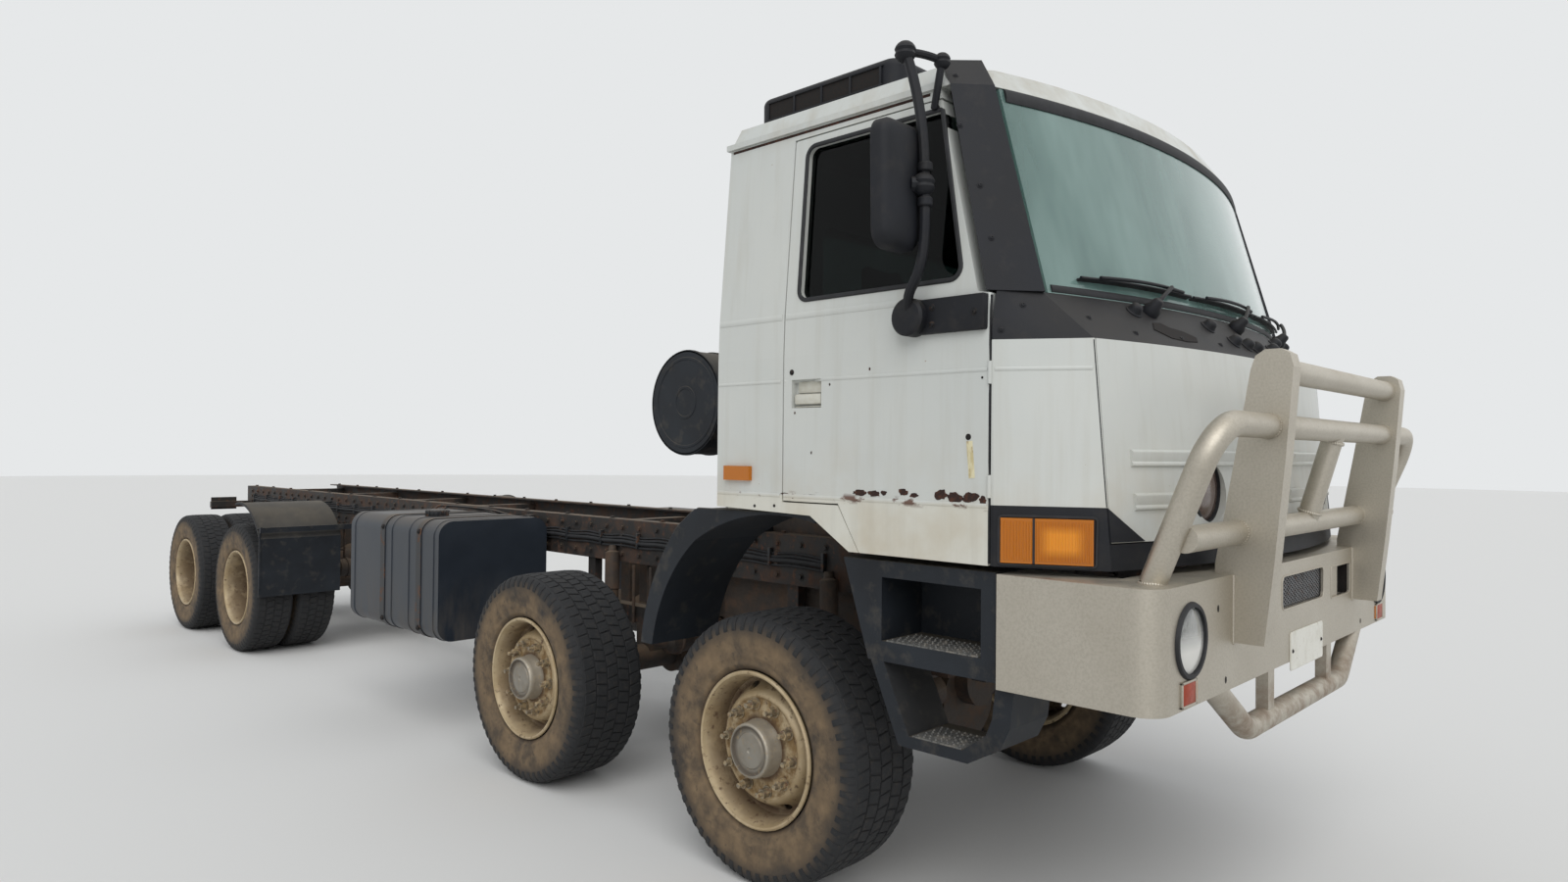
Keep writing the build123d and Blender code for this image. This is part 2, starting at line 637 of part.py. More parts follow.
def step_nodes():
    outline = [(STEP_HEEL, STEP_TOP), (STEP_HEEL + 113, STEP_LOW), (STEP_FRONT, STEP_LOW),
               (STEP_FRONT, STEP_TOP)]
    step = side_prism(outline, -STEP_OUT, -STEP_IN)
    step -= block(-STEP_OUT - 1, -STEP_OUT + STEP_DEEP, STEP_HEEL + 170, STEP_FRONT - 52,
                  STEP_LOW + 68, STEP_TOP - 55)
    band = [(STEP_FRONT + f, STEP_LOW - z) for f, z in HANGING_STEP]
    step += side_prism(band, -STEP_OUT, -STEP_OUT + STEP_DEEP)
    step += block(-STEP_OUT, -STEP_OUT + STEP_DEEP, STEP_FRONT + HANGING_STEP[0][0],
                  STEP_FRONT + HANGING_STEP[5][0], STEP_LOW, STEP_LOW + 8)
    step += block(-STEP_IN, -RAIL_OUT, STEP_HEEL + 230, STEP_HEEL + 330, RAIL_LOW + 32, RAIL_LOW + 132)
    step -= block(-BODY_HALF, -STEP_IN, BUMPER_REAR - PANEL_GAP, BUMPER_FACE,
                  BUMPER_Z0 - SEAT_GAP, STEP_TOP + 1)
    keep("step_boxes", *both(step))


def bumper_plan(inset, rear):
    """The bumper's outline seen from above."""
    half = BODY_HALF - inset
    face = BUMPER_FACE - inset
    corner = BUMPER_CORNER - inset if BUMPER_CORNER > inset + 1 else 1
    bend = corner * 0.7071
    side_r = (half, at(rear))
    turn_r = (half, at(face - corner))
    front_r = (half - corner, at(face))
    mid_r = (half - corner + bend, at(face - corner + bend))
    side_l, turn_l, front_l, mid_l = [(-x, y) for x, y in (side_r, turn_r, front_r, mid_r)]
    rim = Line(side_l, side_r) + Line(side_r, turn_r) + ThreePointArc(turn_r, mid_r, front_r)
    rim += Line(front_r, front_l) + ThreePointArc(front_l, mid_l, turn_l) + Line(turn_l, side_l)
    return make_face(rim)


def bumper_nodes():
    outer = Pos(0, 0, BUMPER_Z0) * extrude(bumper_plan(0, BUMPER_REAR), amount=BUMPER_TALL)
    hollow = Pos(0, 0, BUMPER_Z0 + BUMPER_WALL) * extrude(
        bumper_plan(BUMPER_WALL, BUMPER_REAR - 1), amount=BUMPER_TALL - 2 * BUMPER_WALL)
    slot = Pos(0, 0, BUMPER_Z0 - 1) * extrude(
        bumper_plan(BUMPER_LIP, BUMPER_REAR - 1), amount=BUMPER_TALL + 2)
    bumper = outer - hollow - slot
    cut_f = (BUMPER_FACE - 40, BUMPER_FACE + 5)
    for x0, x1, z0, z1, corner in BUMPER_OPENINGS:
        bumper -= rounded_panel(x0, x1, z0, z1, *cut_f, corner)
    marker_half = MARKER_HALF + SEAT_GAP
    for x in (-LAMP_X, LAMP_X):
        bumper -= round_y(LAMP_R + SEAT_GAP, *cut_f, x, LAMP_Z)
        bumper -= block(x - marker_half, x + marker_half, *cut_f,
                        MARKER_Z0 - SEAT_GAP, MARKER_Z1 + SEAT_GAP)
    bracket = block(-RAIL_OUT, -RAIL_OUT + 70, RAIL_FRONT, BUMPER_FACE - BUMPER_WALL,
                    RAIL_LOW, RAIL_TOP - 20)
    bumper += both(bracket)
    keep("bumper", bumper)

    lamps = []
    for x in (-LAMP_X, LAMP_X):
        lamp = round_y(LAMP_R, BUMPER_FACE - LAMP_DEEP, BUMPER_FACE + SEAT_GAP, x, LAMP_Z)
        lamp += round_y(LAMP_R + LAMP_RING, BUMPER_FACE + SEAT_GAP, BUMPER_FACE + 10, x, LAMP_Z)
        lamps.append(lamp)
    for x in (-CAB_LAMP_X, CAB_LAMP_X):
        lamps.append(round_y(LAMP_R, CAB_LAMP_FACE - CAB_LAMP_DEEP, CAB_LAMP_FACE, x, CAB_LAMP_Z))
    keep("headlamps", *lamps)


def bull_bar_nodes():
    foot_z = BUMPER_Z1 + SEAT_GAP
    upright = side_prism(UPRIGHT, -UPRIGHT_OUT, -UPRIGHT_OUT + UPRIGHT_WIDE)
    bar = tube([(-UPPER_X, LEG_FOOT_F, foot_z), (-UPPER_X, UPPER_F, UPPER_Z),
                (UPPER_X, UPPER_F, UPPER_Z), (UPPER_X, LEG_FOOT_F, foot_z)], BAR_TUBE_R, UPPER_BEND)
    bar -= block(-BESIDE, BESIDE, LEG_FOOT_F - 200, LEG_FOOT_F + 200, foot_z - 100, foot_z)
    for side in both(upright):
        bar += side
    bar += round_x(BAR_TUBE_R, -UPRIGHT_OUT + 5, UPRIGHT_OUT - 5, TOP_TUBE_F, TOP_TUBE_Z)
    bar += round_x(BAR_TUBE_R, -UPPER_X + 5, UPPER_X - 5, MID_F, MID_Z)
    bar += tube([(0, MID_F, MID_Z), (0, UPPER_F, UPPER_Z)], BAR_POST_R, 0)
    keep("bull_bar", bar)

    end = (800, LOWER_F - 15, BUMPER_Z0 + 30)
    turn = (520, LOWER_F, LOWER_Z)
    loop = tube([(-end[0], *end[1:]), (-turn[0], *turn[1:]), turn, end], BAR_TUBE_R, 110)
    for x in (-LOWER_STRUT_X, LOWER_STRUT_X):
        loop += block(x - 30, x + 30, LOWER_F - 20, LOWER_F + 20, LOWER_Z, BUMPER_Z0 + 5)
    loop -= block(-BESIDE, BESIDE, LOWER_F - 200, LOWER_F + 200, BUMPER_Z0 - SEAT_GAP, BUMPER_Z1)
    keep("lower_bar", loop)


def door_outline():
    """The door's edge as (forward, height) points, inside its gap."""
    gap = DOOR_GAP
    return [
        (DOOR_REAR + gap, SILL_Z + gap), (DOOR_HEEL + gap * 0.6, SILL_Z + gap),
        (DOOR_HEEL + 97 + gap * 0.6, SKIRT_Z), (DOOR_FRONT - gap, SKIRT_Z),
        (DOOR_FRONT - gap, BELT_Z - gap), (DOOR_FRONT - 52, BELT_Z),
        (DOOR_FRONT - 226, DOOR_TOP - gap), (DOOR_REAR + gap, DOOR_TOP - gap),
    ]


def window_cut(clearance):
    """The right side window's opening, with round corners."""
    points = [(0, at(f), z) for f, z in WINDOW]
    face = make_face(Polyline(*points, close=True))
    face = fillet(face.vertices(), WINDOW_CORNER)
    if clearance:
        face = offset(face, amount=-clearance, kind=Kind.ARC)
    return Pos(-BESIDE, 0, 0) * extrude(face, amount=BESIDE - SEAT_X, dir=(1, 0, 0))


def cab_nodes():
    body = cab_body()
    inner = cab_body(CAB_WALL)
    inner = inner + Pos(0, 0, -200) * extrude(inner.faces().sort_by(Axis.Z)[0], amount=200)
    shell = body - inner
    rear_in = CAB_REAR + CAB_WALL

    side_zone = side_prism([
        (CAB_REAR, ARCH_Z + 13), (ARCH_FRONT, ARCH_Z), (DOOR_HEEL + 53, SKIRT_Z),
        (DOOR_HEEL + 96, SKIRT_Z), (DOOR_HEEL, SILL_Z), (DOOR_REAR, SILL_Z), (DOOR_REAR, DOOR_TOP),
        (DOOR_FRONT - 226, DOOR_TOP), (DOOR_FRONT - 236, GUTTER_Z), (CAB_REAR, GUTTER_Z),
    ], -BESIDE, -BODY_HALF + 2 * CAB_WALL)
    side = shell & side_zone
    side -= block(-BODY_HALF + CAB_WALL, 0, CAB_REAR - 5, rear_in, 0, ABOVE)
    keep("cab_sides", *both(side))

    back = block(-BODY_HALF + CAB_WALL, BODY_HALF - CAB_WALL, CAB_REAR, rear_in, FLOOR_Z, GUTTER_Z)
    back &= body
    back -= both(side)
    back -= rounded_panel(-REAR_PANE_HALF, REAR_PANE_HALF, *REAR_PANE_Z, CAB_REAR - 20,
                          rear_in + 20, REAR_PANE_CORNER)
    keep("cab_back", back)
    pane_f = CAB_REAR + GLASS_INSET
    pane = rounded_panel(-REAR_PANE_HALF + SEAT_GAP, REAR_PANE_HALF - SEAT_GAP,
                         REAR_PANE_Z[0] + SEAT_GAP, REAR_PANE_Z[1] - SEAT_GAP,
                         pane_f, pane_f + GLASS_THICK, REAR_PANE_CORNER)
    keep("cab_glass", windscreen(), pane)

    doors(shell)
    keep("pillar_trims", *both(pillar_solid()))

    roof = shell & block(-BESIDE, BESIDE, CAB_REAR - 200, AHEAD, GUTTER_Z + 6, ABOVE)
    roof = (roof + gutter_lip()) - inner
    roof -= both(pillar_solid(SEAT_GAP))
    keep("cab_roof", *roof.solids().sort_by(SortBy.VOLUME)[-1:])

    front_f = DOOR_FRONT + PILLAR_STEP
    corner_x = -FLAP_HALF - PANEL_GAP
    scuttle_low = SCUTTLE_Z - SEAT_GAP
    flap = shell & block(-FLAP_HALF, FLAP_HALF, front_f + 120, AHEAD, VALANCE_Z + PANEL_GAP, scuttle_low)
    for x in (-CAB_LAMP_X, CAB_LAMP_X):
        flap -= round_y(LAMP_R + SEAT_GAP, front_f, AHEAD, x, CAB_LAMP_Z)
    corner = shell & block(-BESIDE, corner_x, front_f, AHEAD, LAMP_TOP_Z + SEAT_GAP, scuttle_low)
    for z in HINGE_Z:
        corner += round_z(HINGE_R, z, z + HINGE_LONG, -BODY_HALF, HINGE_F)
    keep("front_panels", flap, *both(corner))

    low = shell & block(-BESIDE, BESIDE, front_f, AHEAD, SKIRT_Z, VALANCE_Z)
    low += both(shell & block(-BESIDE, corner_x, front_f, AHEAD, VALANCE_Z, LAMP_TOP_Z))
    low -= both(corner_lamp(SEAT_GAP))
    keep("lamp_surrounds", low)
    keep("scuttle", shell & block(-BESIDE, BESIDE, front_f, AHEAD, SCUTTLE_Z, BELT_Z))

    markers = both(corner_lamp())
    for x in (-LAMP_X, LAMP_X):
        markers.append(block(x - MARKER_HALF, x + MARKER_HALF, BUMPER_FACE - 20, BUMPER_FACE + 3,
                             MARKER_Z0, MARKER_Z1))
    markers += both(block(-BODY_HALF - 18, -BODY_HALF - SEAT_GAP, CAB_REAR + 55, CAB_REAR + 195,
                          ARCH_Z + 118, ARCH_Z + 173))
    keep("amber_lamps", *markers)

    floor = block(-BODY_HALF, BODY_HALF, CAB_REAR, CAB_LAMP_FACE - CAB_LAMP_DEEP - 6,
                  FLOOR_Z, FLOOR_Z + FLOOR_THICK)
    floor &= cab_body(CAB_WALL + SEAT_GAP)
    floor -= both(block(-BODY_HALF, -BODY_HALF + CAB_WALL + 6, DOOR_REAR - 10, AHEAD, 0, ABOVE))
    keep("cab_floor", floor)


def doors(shell):
    leaf = shell & side_prism(door_outline(), -BESIDE, -BODY_HALF + 250)
    leaf -= window_cut(0)
    leaf -= handle_recess()
    for z in HINGE_Z:
        leaf -= round_z(HINGE_R + SEAT_GAP, z - 1, z + HINGE_LONG + 1, -BODY_HALF, HINGE_F)
    keep("door_right", leaf)
    keep("door_left", other_side(leaf))
    pane = window_cut(SEAT_GAP) & (cab_body(GLASS_INSET) - cab_body(GLASS_INSET + GLASS_THICK))
    keep("door_glass_right", pane)
    keep("door_glass_left", other_side(pane))


def handle_recess():
    """The recess behind the door's handle."""
    return block(-BODY_HALF - 5, -BODY_HALF + 28, DOOR_REAR + 45, DOOR_REAR + 190,
                 SILL_Z + 345, SILL_Z + 448)


def pillar_solid(grow=0):
    """The windscreen pillar with its dark cover, from the belt up over the roof's corner."""
    sections = []
    for row, rise, outer_rear, inner_rear, outer_front, inner_front in PILLAR:
        z, half, rear, side_end, corner_x, corner_f, nose = CAB_PLAN[row]
        points = [
            (half + outer_rear[0], side_end + outer_rear[1]),
            (corner_x + outer_front[0], corner_f + outer_front[1]),
            (corner_x + inner_front[0], corner_f + inner_front[1]),
            (half + inner_rear[0], side_end + inner_rear[1]),
        ]
        middle_x = sum(p[0] for p in points) / len(points)
        middle_f = sum(p[1] for p in points) / len(points)
        ring = []
        for x, f in points:
            away = hypot(x - middle_x, f - middle_f)
            ring.append((-(x + (x - middle_x) / away * grow), at(f + (f - middle_f) / away * grow)))
        sections.append(Pos(0, 0, z + rise) * make_face(Polyline(*ring, close=True)))
    return loft(sections, ruled=True)


def gutter_lip():
    """The rain gutter round the sides and back of the roof."""
    half, rear, side_end = CAB_PLAN[3][1:4]
    proud = 14
    return block(-half - proud, half + proud, rear - proud, side_end - 40,
                 GUTTER_Z + SEAT_GAP, GUTTER_Z + 22)


def corner_lamp(grow=0):
    """The two-part lamp let into the cab's lower corner."""
    half, rear, side_end, corner_x, corner_f = CAB_PLAN[0][1:6]
    along = (corner_x - half, corner_f - side_end)
    length = hypot(*along)
    ux, uf = along[0] / length, along[1] / length
    nx, nf = uf, -ux
    start, end = 20 - grow, length - 50 + grow
    back, front = -26 - grow, 9
    corners = []
    for s, d in ((start, back), (end, back), (end, front), (start, front)):
        x = half + ux * s + nx * d
        f = side_end + uf * s + nf * d
        corners.append((-x, at(f)))
    face = make_face(Polyline(*corners, close=True))
    low = SKIRT_Z + 14
    return Pos(0, 0, low - grow) * extrude(face, amount=LAMP_TOP_Z - 36 - low + 2 * grow)


def bow(x, corner_x, corner_f, nose):
    """How far forward the bowed front stands at a distance x from the middle."""
    rise = nose - corner_f
    radius = (corner_x ** 2 + rise ** 2) / (2 * rise)
    return nose - radius + (radius ** 2 - x ** 2) ** 0.5


def windscreen():
    sections = []
    for level, (z, half, rear, side_end, corner_x, corner_f, nose) in enumerate(CAB_PLAN[2:4]):
        z = z - 5 if level else z + SEAT_GAP
        edge = corner_x - GLASS_EDGE
        f = bow(edge, corner_x, corner_f, nose) - 2
        back_f = f - GLASS_THICK - 4
        outer = ThreePointArc((-edge, at(f)), (0, at(nose - 2)), (edge, at(f)))
        inner = ThreePointArc((edge, at(back_f)), (0, at(nose - GLASS_THICK - 6)), (-edge, at(back_f)))
        rim = outer + Line((edge, at(f)), (edge, at(back_f))) + inner
        rim += Line((-edge, at(back_f)), (-edge, at(f)))
        sections.append(Pos(0, 0, z) * make_face(rim))
    return loft(sections, ruled=True)


def roof_nodes():
    pod = block(-POD_HALF, POD_HALF, POD_REAR, POD_REAR + POD_LONG, POD_LOW, POD_TOP)
    pod = fillet(pod.edges().filter_by(Axis.Z), POD_CORNER)
    pod = fillet(pod.edges().filter_by(Axis.Y).sort_by(Axis.Z)[-2:], POD_EDGE)
    pitch = (POD_LONG - 180) / POD_SLOTS
    for n in range(POD_SLOTS):
        f0 = POD_REAR + 90 + n * pitch
        for x in (-POD_HALF, POD_HALF):
            pod -= block(x - 40, x + 40, f0, f0 + pitch - POD_SLOT_GAP, ROOF_Z + 18, ROOF_Z + 58)
    pod -= cab_body(-SEAT_GAP)
    pod = pod.solids().sort_by(SortBy.VOLUME)[-1]
    keep("roof_pod", pod)


def cabin_nodes():
    seats = []
    for x in (-SEAT_X, SEAT_X):
        seat = block(x - 200, x + 200, DOOR_REAR - 30, DOOR_REAR + 370, SEAT_FLOOR, SEAT_TOP - 120)
        seat += block(x - 260, x + 260, DOOR_REAR - 70, DOOR_REAR + 450, SEAT_TOP - 120, SEAT_TOP)
        seat += side_prism([(DOOR_REAR - 80, SEAT_TOP - 40), (DOOR_REAR + 50, SEAT_TOP - 40),
                            (DOOR_REAR - 20, SEAT_TOP + 580), (DOOR_REAR - 130, SEAT_TOP + 580)],
                           x - 250, x + 250)
        seats.append(seat)
    keep("seats", *seats)

    dash = block(-BODY_HALF, BODY_HALF, DASH_REAR, BUMPER_FACE, DASH_LOW, DASH_TOP)
    dash += block(-BODY_HALF + 250, BODY_HALF - 250, DASH_REAR + 40, DASH_REAR + 240,
                  DASH_TOP, DASH_TOP + 120)
    dash &= cab_body(CAB_WALL + SEAT_GAP)
    dash -= both(block(-BODY_HALF, -BODY_HALF + 2 * CAB_WALL - 10, DASH_REAR - 1, AHEAD, 0, ABOVE))
    dash += block(-300, 300, DASH_REAR + 60, DASH_REAR + 300, SEAT_FLOOR, DASH_LOW + 10)
    keep("dashboard", dash)

    wheel = Torus(STEERING_R, 16)
    wheel += Cylinder(55, 30)
    for turn in (90, 210, 330):
        wheel += Rot(0, 0, turn) * Pos(STEERING_R / 2 + 8, 0, 0) * Box(STEERING_R - 15, 34, 12)
    wheel += Pos(0, 0, -210) * Cylinder(28, 420)
    wheel = Pos(-SEAT_X, at(STEERING_F), STEERING_Z) * Rot(-STEERING_LEAN, 0, 0) * wheel
    wheel -= block(-BESIDE, 0, DASH_REAR - SEAT_GAP, AHEAD, FLOOR_Z, ABOVE)
    keep("steering_wheel", wheel)


def air_cleaner_node():
    foot_top = RAIL_TOP + 22
    drum = round_x(CLEANER_R, -CLEANER_OUT, -CLEANER_OUT + CLEANER_LONG, CLEANER_F, CLEANER_Z)
    drum += block(-RAIL_OUT - 110, -RAIL_OUT - 50, CLEANER_F - 40, CLEANER_F + 40,
                  foot_top - 2, CLEANER_Z - CLEANER_R + 30)
    drum += block(-RAIL_OUT - 110, -RAIL_OUT + RAIL_FLANGE, CLEANER_F - 60, CLEANER_F + 60,
                  RAIL_TOP + SEAT_GAP, foot_top)
    duct_f = CLEANER_F + CLEANER_R - 70
    duct_x = -CLEANER_OUT + 280
    drop_x = -ENGINE_HALF + 80
    drum += tube([(duct_x, duct_f, CLEANER_Z - 110), (duct_x, duct_f, ENGINE_TOP + 220),
                  (drop_x, duct_f, ENGINE_TOP + 120), (drop_x, duct_f, ENGINE_TOP + SEAT_GAP)],
                 DUCT_R, DUCT_R + 5)
    keep("air_cleaner", drum)


def tail_nodes():
    lamp = block(-RAIL_OUT - 330, -RAIL_OUT - 120, TAIL, TAIL + TAIL_PLATE - SEAT_GAP,
                 TAIL_BAR_Z - 10, TAIL_BAR_Z + 90)
    keep("tail_lamps", *both(lamp))

    seat = CROSS_F[7]
    plate = block(-130, 130, seat - 22, seat, TOW_Z - JAW_HALF, TOW_Z + JAW_HALF)
    jaw = block(-JAW_HALF, JAW_HALF, TAIL, seat - 20, TOW_Z - 50, TOW_Z + 50)
    jaw -= block(-JAW_HALF - 1, JAW_HALF + 1, TAIL - 1, seat - 40,
                 TOW_Z - JAW_GAP_HALF, TOW_Z + JAW_GAP_HALF)
    jaw -= round_z(TOW_PIN_R, TOW_Z - 150, TOW_Z + 150, 0, TAIL + 38)
    keep("tow_coupling", plate + jaw)


def mirror_node():
    plate_front = DOOR_FRONT - DOOR_GAP - 4
    plate_x = (-BODY_HALF - 22, -BODY_HALF + 20)
    piece = side_prism([(MIRROR_F, BELT_Z - 125), (plate_front, BELT_Z - 125),
                        (plate_front, BELT_Z - 10), (MIRROR_F, BELT_Z - 5)], *plate_x)
    piece += round_x(62, -BODY_HALF - 60, plate_x[1], MIRROR_F, BELT_Z - 65)
    piece -= cab_body(-SEAT_GAP)
    top = GUTTER_Z + 98
    piece += tube([(-BODY_HALF - 40, MIRROR_F, BELT_Z - 50), (-MIRROR_TUBE_X, MIRROR_F - 20, BELT_Z + 90),
                   (-MIRROR_TUBE_X, MIRROR_F - 10, top), (-BODY_HALF + 40, MIRROR_F + 70, top + 25)],
                  MIRROR_TUBE_R, 60)
    head_f = MIRROR_F + 40
    head = block(-MIRROR_X - MIRROR_HALF, -MIRROR_X + MIRROR_HALF, head_f, head_f + 70,
                 MIRROR_LOW, MIRROR_LOW + MIRROR_TALL)
    piece += fillet(head.edges(), 28)
    clamp_z = MIRROR_LOW + MIRROR_TALL / 2
    piece += round_x(30, -MIRROR_X, -MIRROR_TUBE_X + 20, MIRROR_F, clamp_z)
    piece += block(-MIRROR_X - 20, -MIRROR_X + 20, MIRROR_F - 10, head_f + 20, clamp_z - 20, clamp_z + 20)
    piece += block(-BODY_HALF + 25, -BODY_HALF + 50, MIRROR_F + 52, MIRROR_F + 78,
                   DOOR_TOP + 8, top + 30)
    keep("mirror_right", piece)
    keep("mirror_left", other_side(piece))


def knuckle_nodes():
    top = TYRE_R + KINGPIN_HALF + BEARING_GAP
    low = TYRE_R - KINGPIN_HALF - BEARING_GAP
    for n, forward in enumerate(AXLES[:2], 1):
        knuckle = block(-KNUCKLE_OUT, -KNUCKLE_OUT + KNUCKLE_PLATE, forward - 80, forward + 80,
                        low - LUG_THICK, top + LUG_THICK)
        for z in (top, low - LUG_THICK):
            knuckle += round_z(KINGPIN_R + 4, z, z + LUG_THICK, -KINGPIN_X, forward)
            knuckle += block(-KNUCKLE_OUT, -KINGPIN_X, forward - 60, forward + 60, z, z + LUG_THICK)
        knuckle += round_x(100, -KNUCKLE_OUT - KNUCKLE_BOSS, -KNUCKLE_OUT, forward, TYRE_R)
        knuckle += round_x(STUB_R, -STUB_OUT, -KNUCKLE_OUT, forward, TYRE_R)
        keep(f"knuckle_right_{n}", knuckle)
        keep(f"knuckle_left_{n}", other_side(knuckle))


def tyre(outer, width, forward):
    """One tyre on the right side; outer is the x of its outer face."""
    half = width / 2
    bulge_r = TYRE_R - 110
    right = [
        (half - 21, RIM_SEAT_R + SEAT_GAP), (half - 21, FLANGE_R + 2), (half - 12, FLANGE_R + 12),
        (half, bulge_r), (half - 6, TYRE_R - TYRE_SHOULDER), (half - 30, TYRE_R),
    ]
    left = [(-x, r) for x, r in reversed(right)]
    face = make_face(Polyline(*[(x, 0, r) for x, r in right + left], close=True))
    ring = revolve(face, axis=Axis.X)
    return Pos(-outer + half, at(forward), TYRE_R) * ring


def rim_ring(inner_r, outer_r, x0, x1, forward):
    """A ring on a right-hand wheel, between two distances from the truck's middle."""
    ring = round_x(outer_r, -x1, -x0, forward, TYRE_R)
    return ring - round_x(inner_r, -x1 - 1, -x0 + 1, forward, TYRE_R)


def rim_barrel(inside, outside, forward):
    barrel_r = RIM_SEAT_R - RIM_WALL
    rim = rim_ring(barrel_r, RIM_SEAT_R, inside, outside, forward)
    rim += rim_ring(barrel_r, FLANGE_R, inside, inside + FLANGE_THICK, forward)
    return rim + rim_ring(barrel_r, FLANGE_R, outside - FLANGE_THICK, outside, forward)


def hub_cap(radius, inside, outside, bore, bore_end, forward):
    """A round cap, closed outside and bored from inside."""
    cap = round_x(radius, -outside, -inside, forward, TYRE_R)
    return cap - round_x(bore, -bore_end, -inside + 1, forward, TYRE_R)


def front_rim(forward):
    bore = STUB_R + BEARING_GAP
    disc_r = RIM_SEAT_R - RIM_WALL + 2
    ring_out = DISC_OUT + NUT_RING_THICK
    rim = rim_barrel(FRONT_TYRE_OUT - FRONT_TYRE_W + RIM_INSET, FRONT_TYRE_OUT - RIM_INSET, forward)
    rim += rim_ring(bore, disc_r, DISC_IN, DISC_OUT, forward)
    rim += rim_ring(bore, NUT_RING_R, DISC_OUT, ring_out, forward)
    rim += rim_ring(bore, 125, KNUCKLE_OUT + KNUCKLE_BOSS + 2, DISC_IN, forward)
    return rim + hub_cap(HUB_CAP_R, ring_out, HUB_CAP_OUT, bore, STUB_OUT + 3, forward)


def rear_rim(forward):
    bore = REAR_STUB_R + BEARING_GAP
    disc_r = RIM_SEAT_R - RIM_WALL + 2
    face = REAR_DISC_X + REAR_DISC / 2
    ring_out = face + REAR_RING_THICK
    rim = rim_barrel(REAR_TYRE_IN + RIM_INSET, REAR_TYRE_OUT - RIM_INSET, forward)
    rim += rim_ring(bore, disc_r, face - REAR_DISC, face, forward)
    rim += rim_ring(bore, NUT_RING_R, face, ring_out, forward)
    return rim + hub_cap(REAR_HUB_R, ring_out, REAR_HUB_OUT, bore, REAR_STUB_OUT + 3, forward)


def wheel_nodes():
    for n, forward in enumerate(AXLES, 1):
        if n < 3:
            rubber = [tyre(FRONT_TYRE_OUT, FRONT_TYRE_W, forward)]
            rim = front_rim(forward)
        else:
            inner_out = REAR_TYRE_OUT - REAR_TYRE_W - TWIN_GAP
            rubber = [tyre(outer, REAR_TYRE_W, forward) for outer in (REAR_TYRE_OUT, inner_out)]
            rim = rear_rim(forward)
        keep(f"tyre_right_{n}", *rubber)
        keep(f"tyre_left_{n}", *[other_side(one) for one in rubber])
        keep(f"rim_right_{n}", rim)
        keep(f"rim_left_{n}", other_side(rim))


frame_nodes()
cab_mount_nodes()
backbone_node()
axle_nodes()
power_nodes()
tank_nodes()
mudguard_nodes()
step_nodes()
bumper_nodes()
bull_bar_nodes()
cab_nodes()
roof_nodes()
cabin_nodes()
air_cleaner_node()
tail_nodes()
mirror_node()
knuckle_nodes()
wheel_nodes()

os.makedirs("parts", exist_ok=True)
for name, shape in parts.items():
    export_step(shape, f"parts/{name}.step")
    print(name, len(shape.solids()), round(shape.volume / 1000), "cm3")
print(len(parts), "nodes")
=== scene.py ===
# %% [markdown]
# # A cab chassis truck with eight wheels
# This lesson dresses a CAD model of a forward-control truck: a white cab, an aluminium
# bumper with a bull bar, two steered front axles, and twin tyres on two rear axles. The
# CAD solids keep their places and sizes. Blender adds what a maker would fit or spray
# last: tread, nuts, seals, folds in the sheet metal, lenses, wipers, paint and dirt.

# %% [markdown]
# ## Loading the frame
# Every later piece rides on one of its bodies, so that doors, knuckles and wheels carry
# their parts.

import math
import random

import bmesh
import bpy
from mathutils import Matrix, Vector
from mathutils.bvhtree import BVHTree


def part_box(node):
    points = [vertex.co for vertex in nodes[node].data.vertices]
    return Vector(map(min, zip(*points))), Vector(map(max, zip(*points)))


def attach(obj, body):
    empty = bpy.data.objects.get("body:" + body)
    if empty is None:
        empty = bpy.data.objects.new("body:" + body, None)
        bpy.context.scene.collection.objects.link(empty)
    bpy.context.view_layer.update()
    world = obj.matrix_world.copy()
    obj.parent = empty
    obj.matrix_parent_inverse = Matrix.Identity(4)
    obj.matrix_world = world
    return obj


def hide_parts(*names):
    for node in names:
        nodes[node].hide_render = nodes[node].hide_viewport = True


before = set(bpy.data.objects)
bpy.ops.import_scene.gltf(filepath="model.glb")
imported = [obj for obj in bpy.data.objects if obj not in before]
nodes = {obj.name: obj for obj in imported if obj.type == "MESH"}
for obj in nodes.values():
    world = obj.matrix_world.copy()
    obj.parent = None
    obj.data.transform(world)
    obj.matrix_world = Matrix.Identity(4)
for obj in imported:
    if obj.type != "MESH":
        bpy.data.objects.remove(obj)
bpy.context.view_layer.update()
scene = bpy.context.scene
scene.view_settings.view_transform = "Standard"

# %% [markdown]
# ## One way to name a place
# A truck fitter measures from the first axle. So a place here is given as metres forward
# of that axle, metres across (the right side is negative) and metres above the ground.
# The axles' own places are read from the tyres, so they follow the CAD model.

# %% Places measured from the first axle
SIGN = {"right": -1, "left": 1}
FORWARD, UP = Vector((0, -1, 0)), Vector((0, 0, 1))


def middle(name):
    """The centre of a CAD node's box."""
    low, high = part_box(name)
    return (low + high) / 2


AXLES = [middle(f"tyre_right_{i}").y for i in (1, 2, 3, 4)]
FRONT_AXLE = AXLES[0]
TYRE_R = HUB_HEIGHT = middle("tyre_right_1").z


def at(forward, across, up):
    """A point from the distance ahead of the first axle, across and above the ground."""
    return Vector((across, FRONT_AXLE - forward, up))


def on_side_of(sign):
    """at() for one side of the truck: its distance across counts outwards."""
    return lambda forward, outward, up: at(forward, sign * outward, up)


print("axles at y =", [round(y, 3) for y in AXLES], "hub height", round(HUB_HEIGHT, 3))

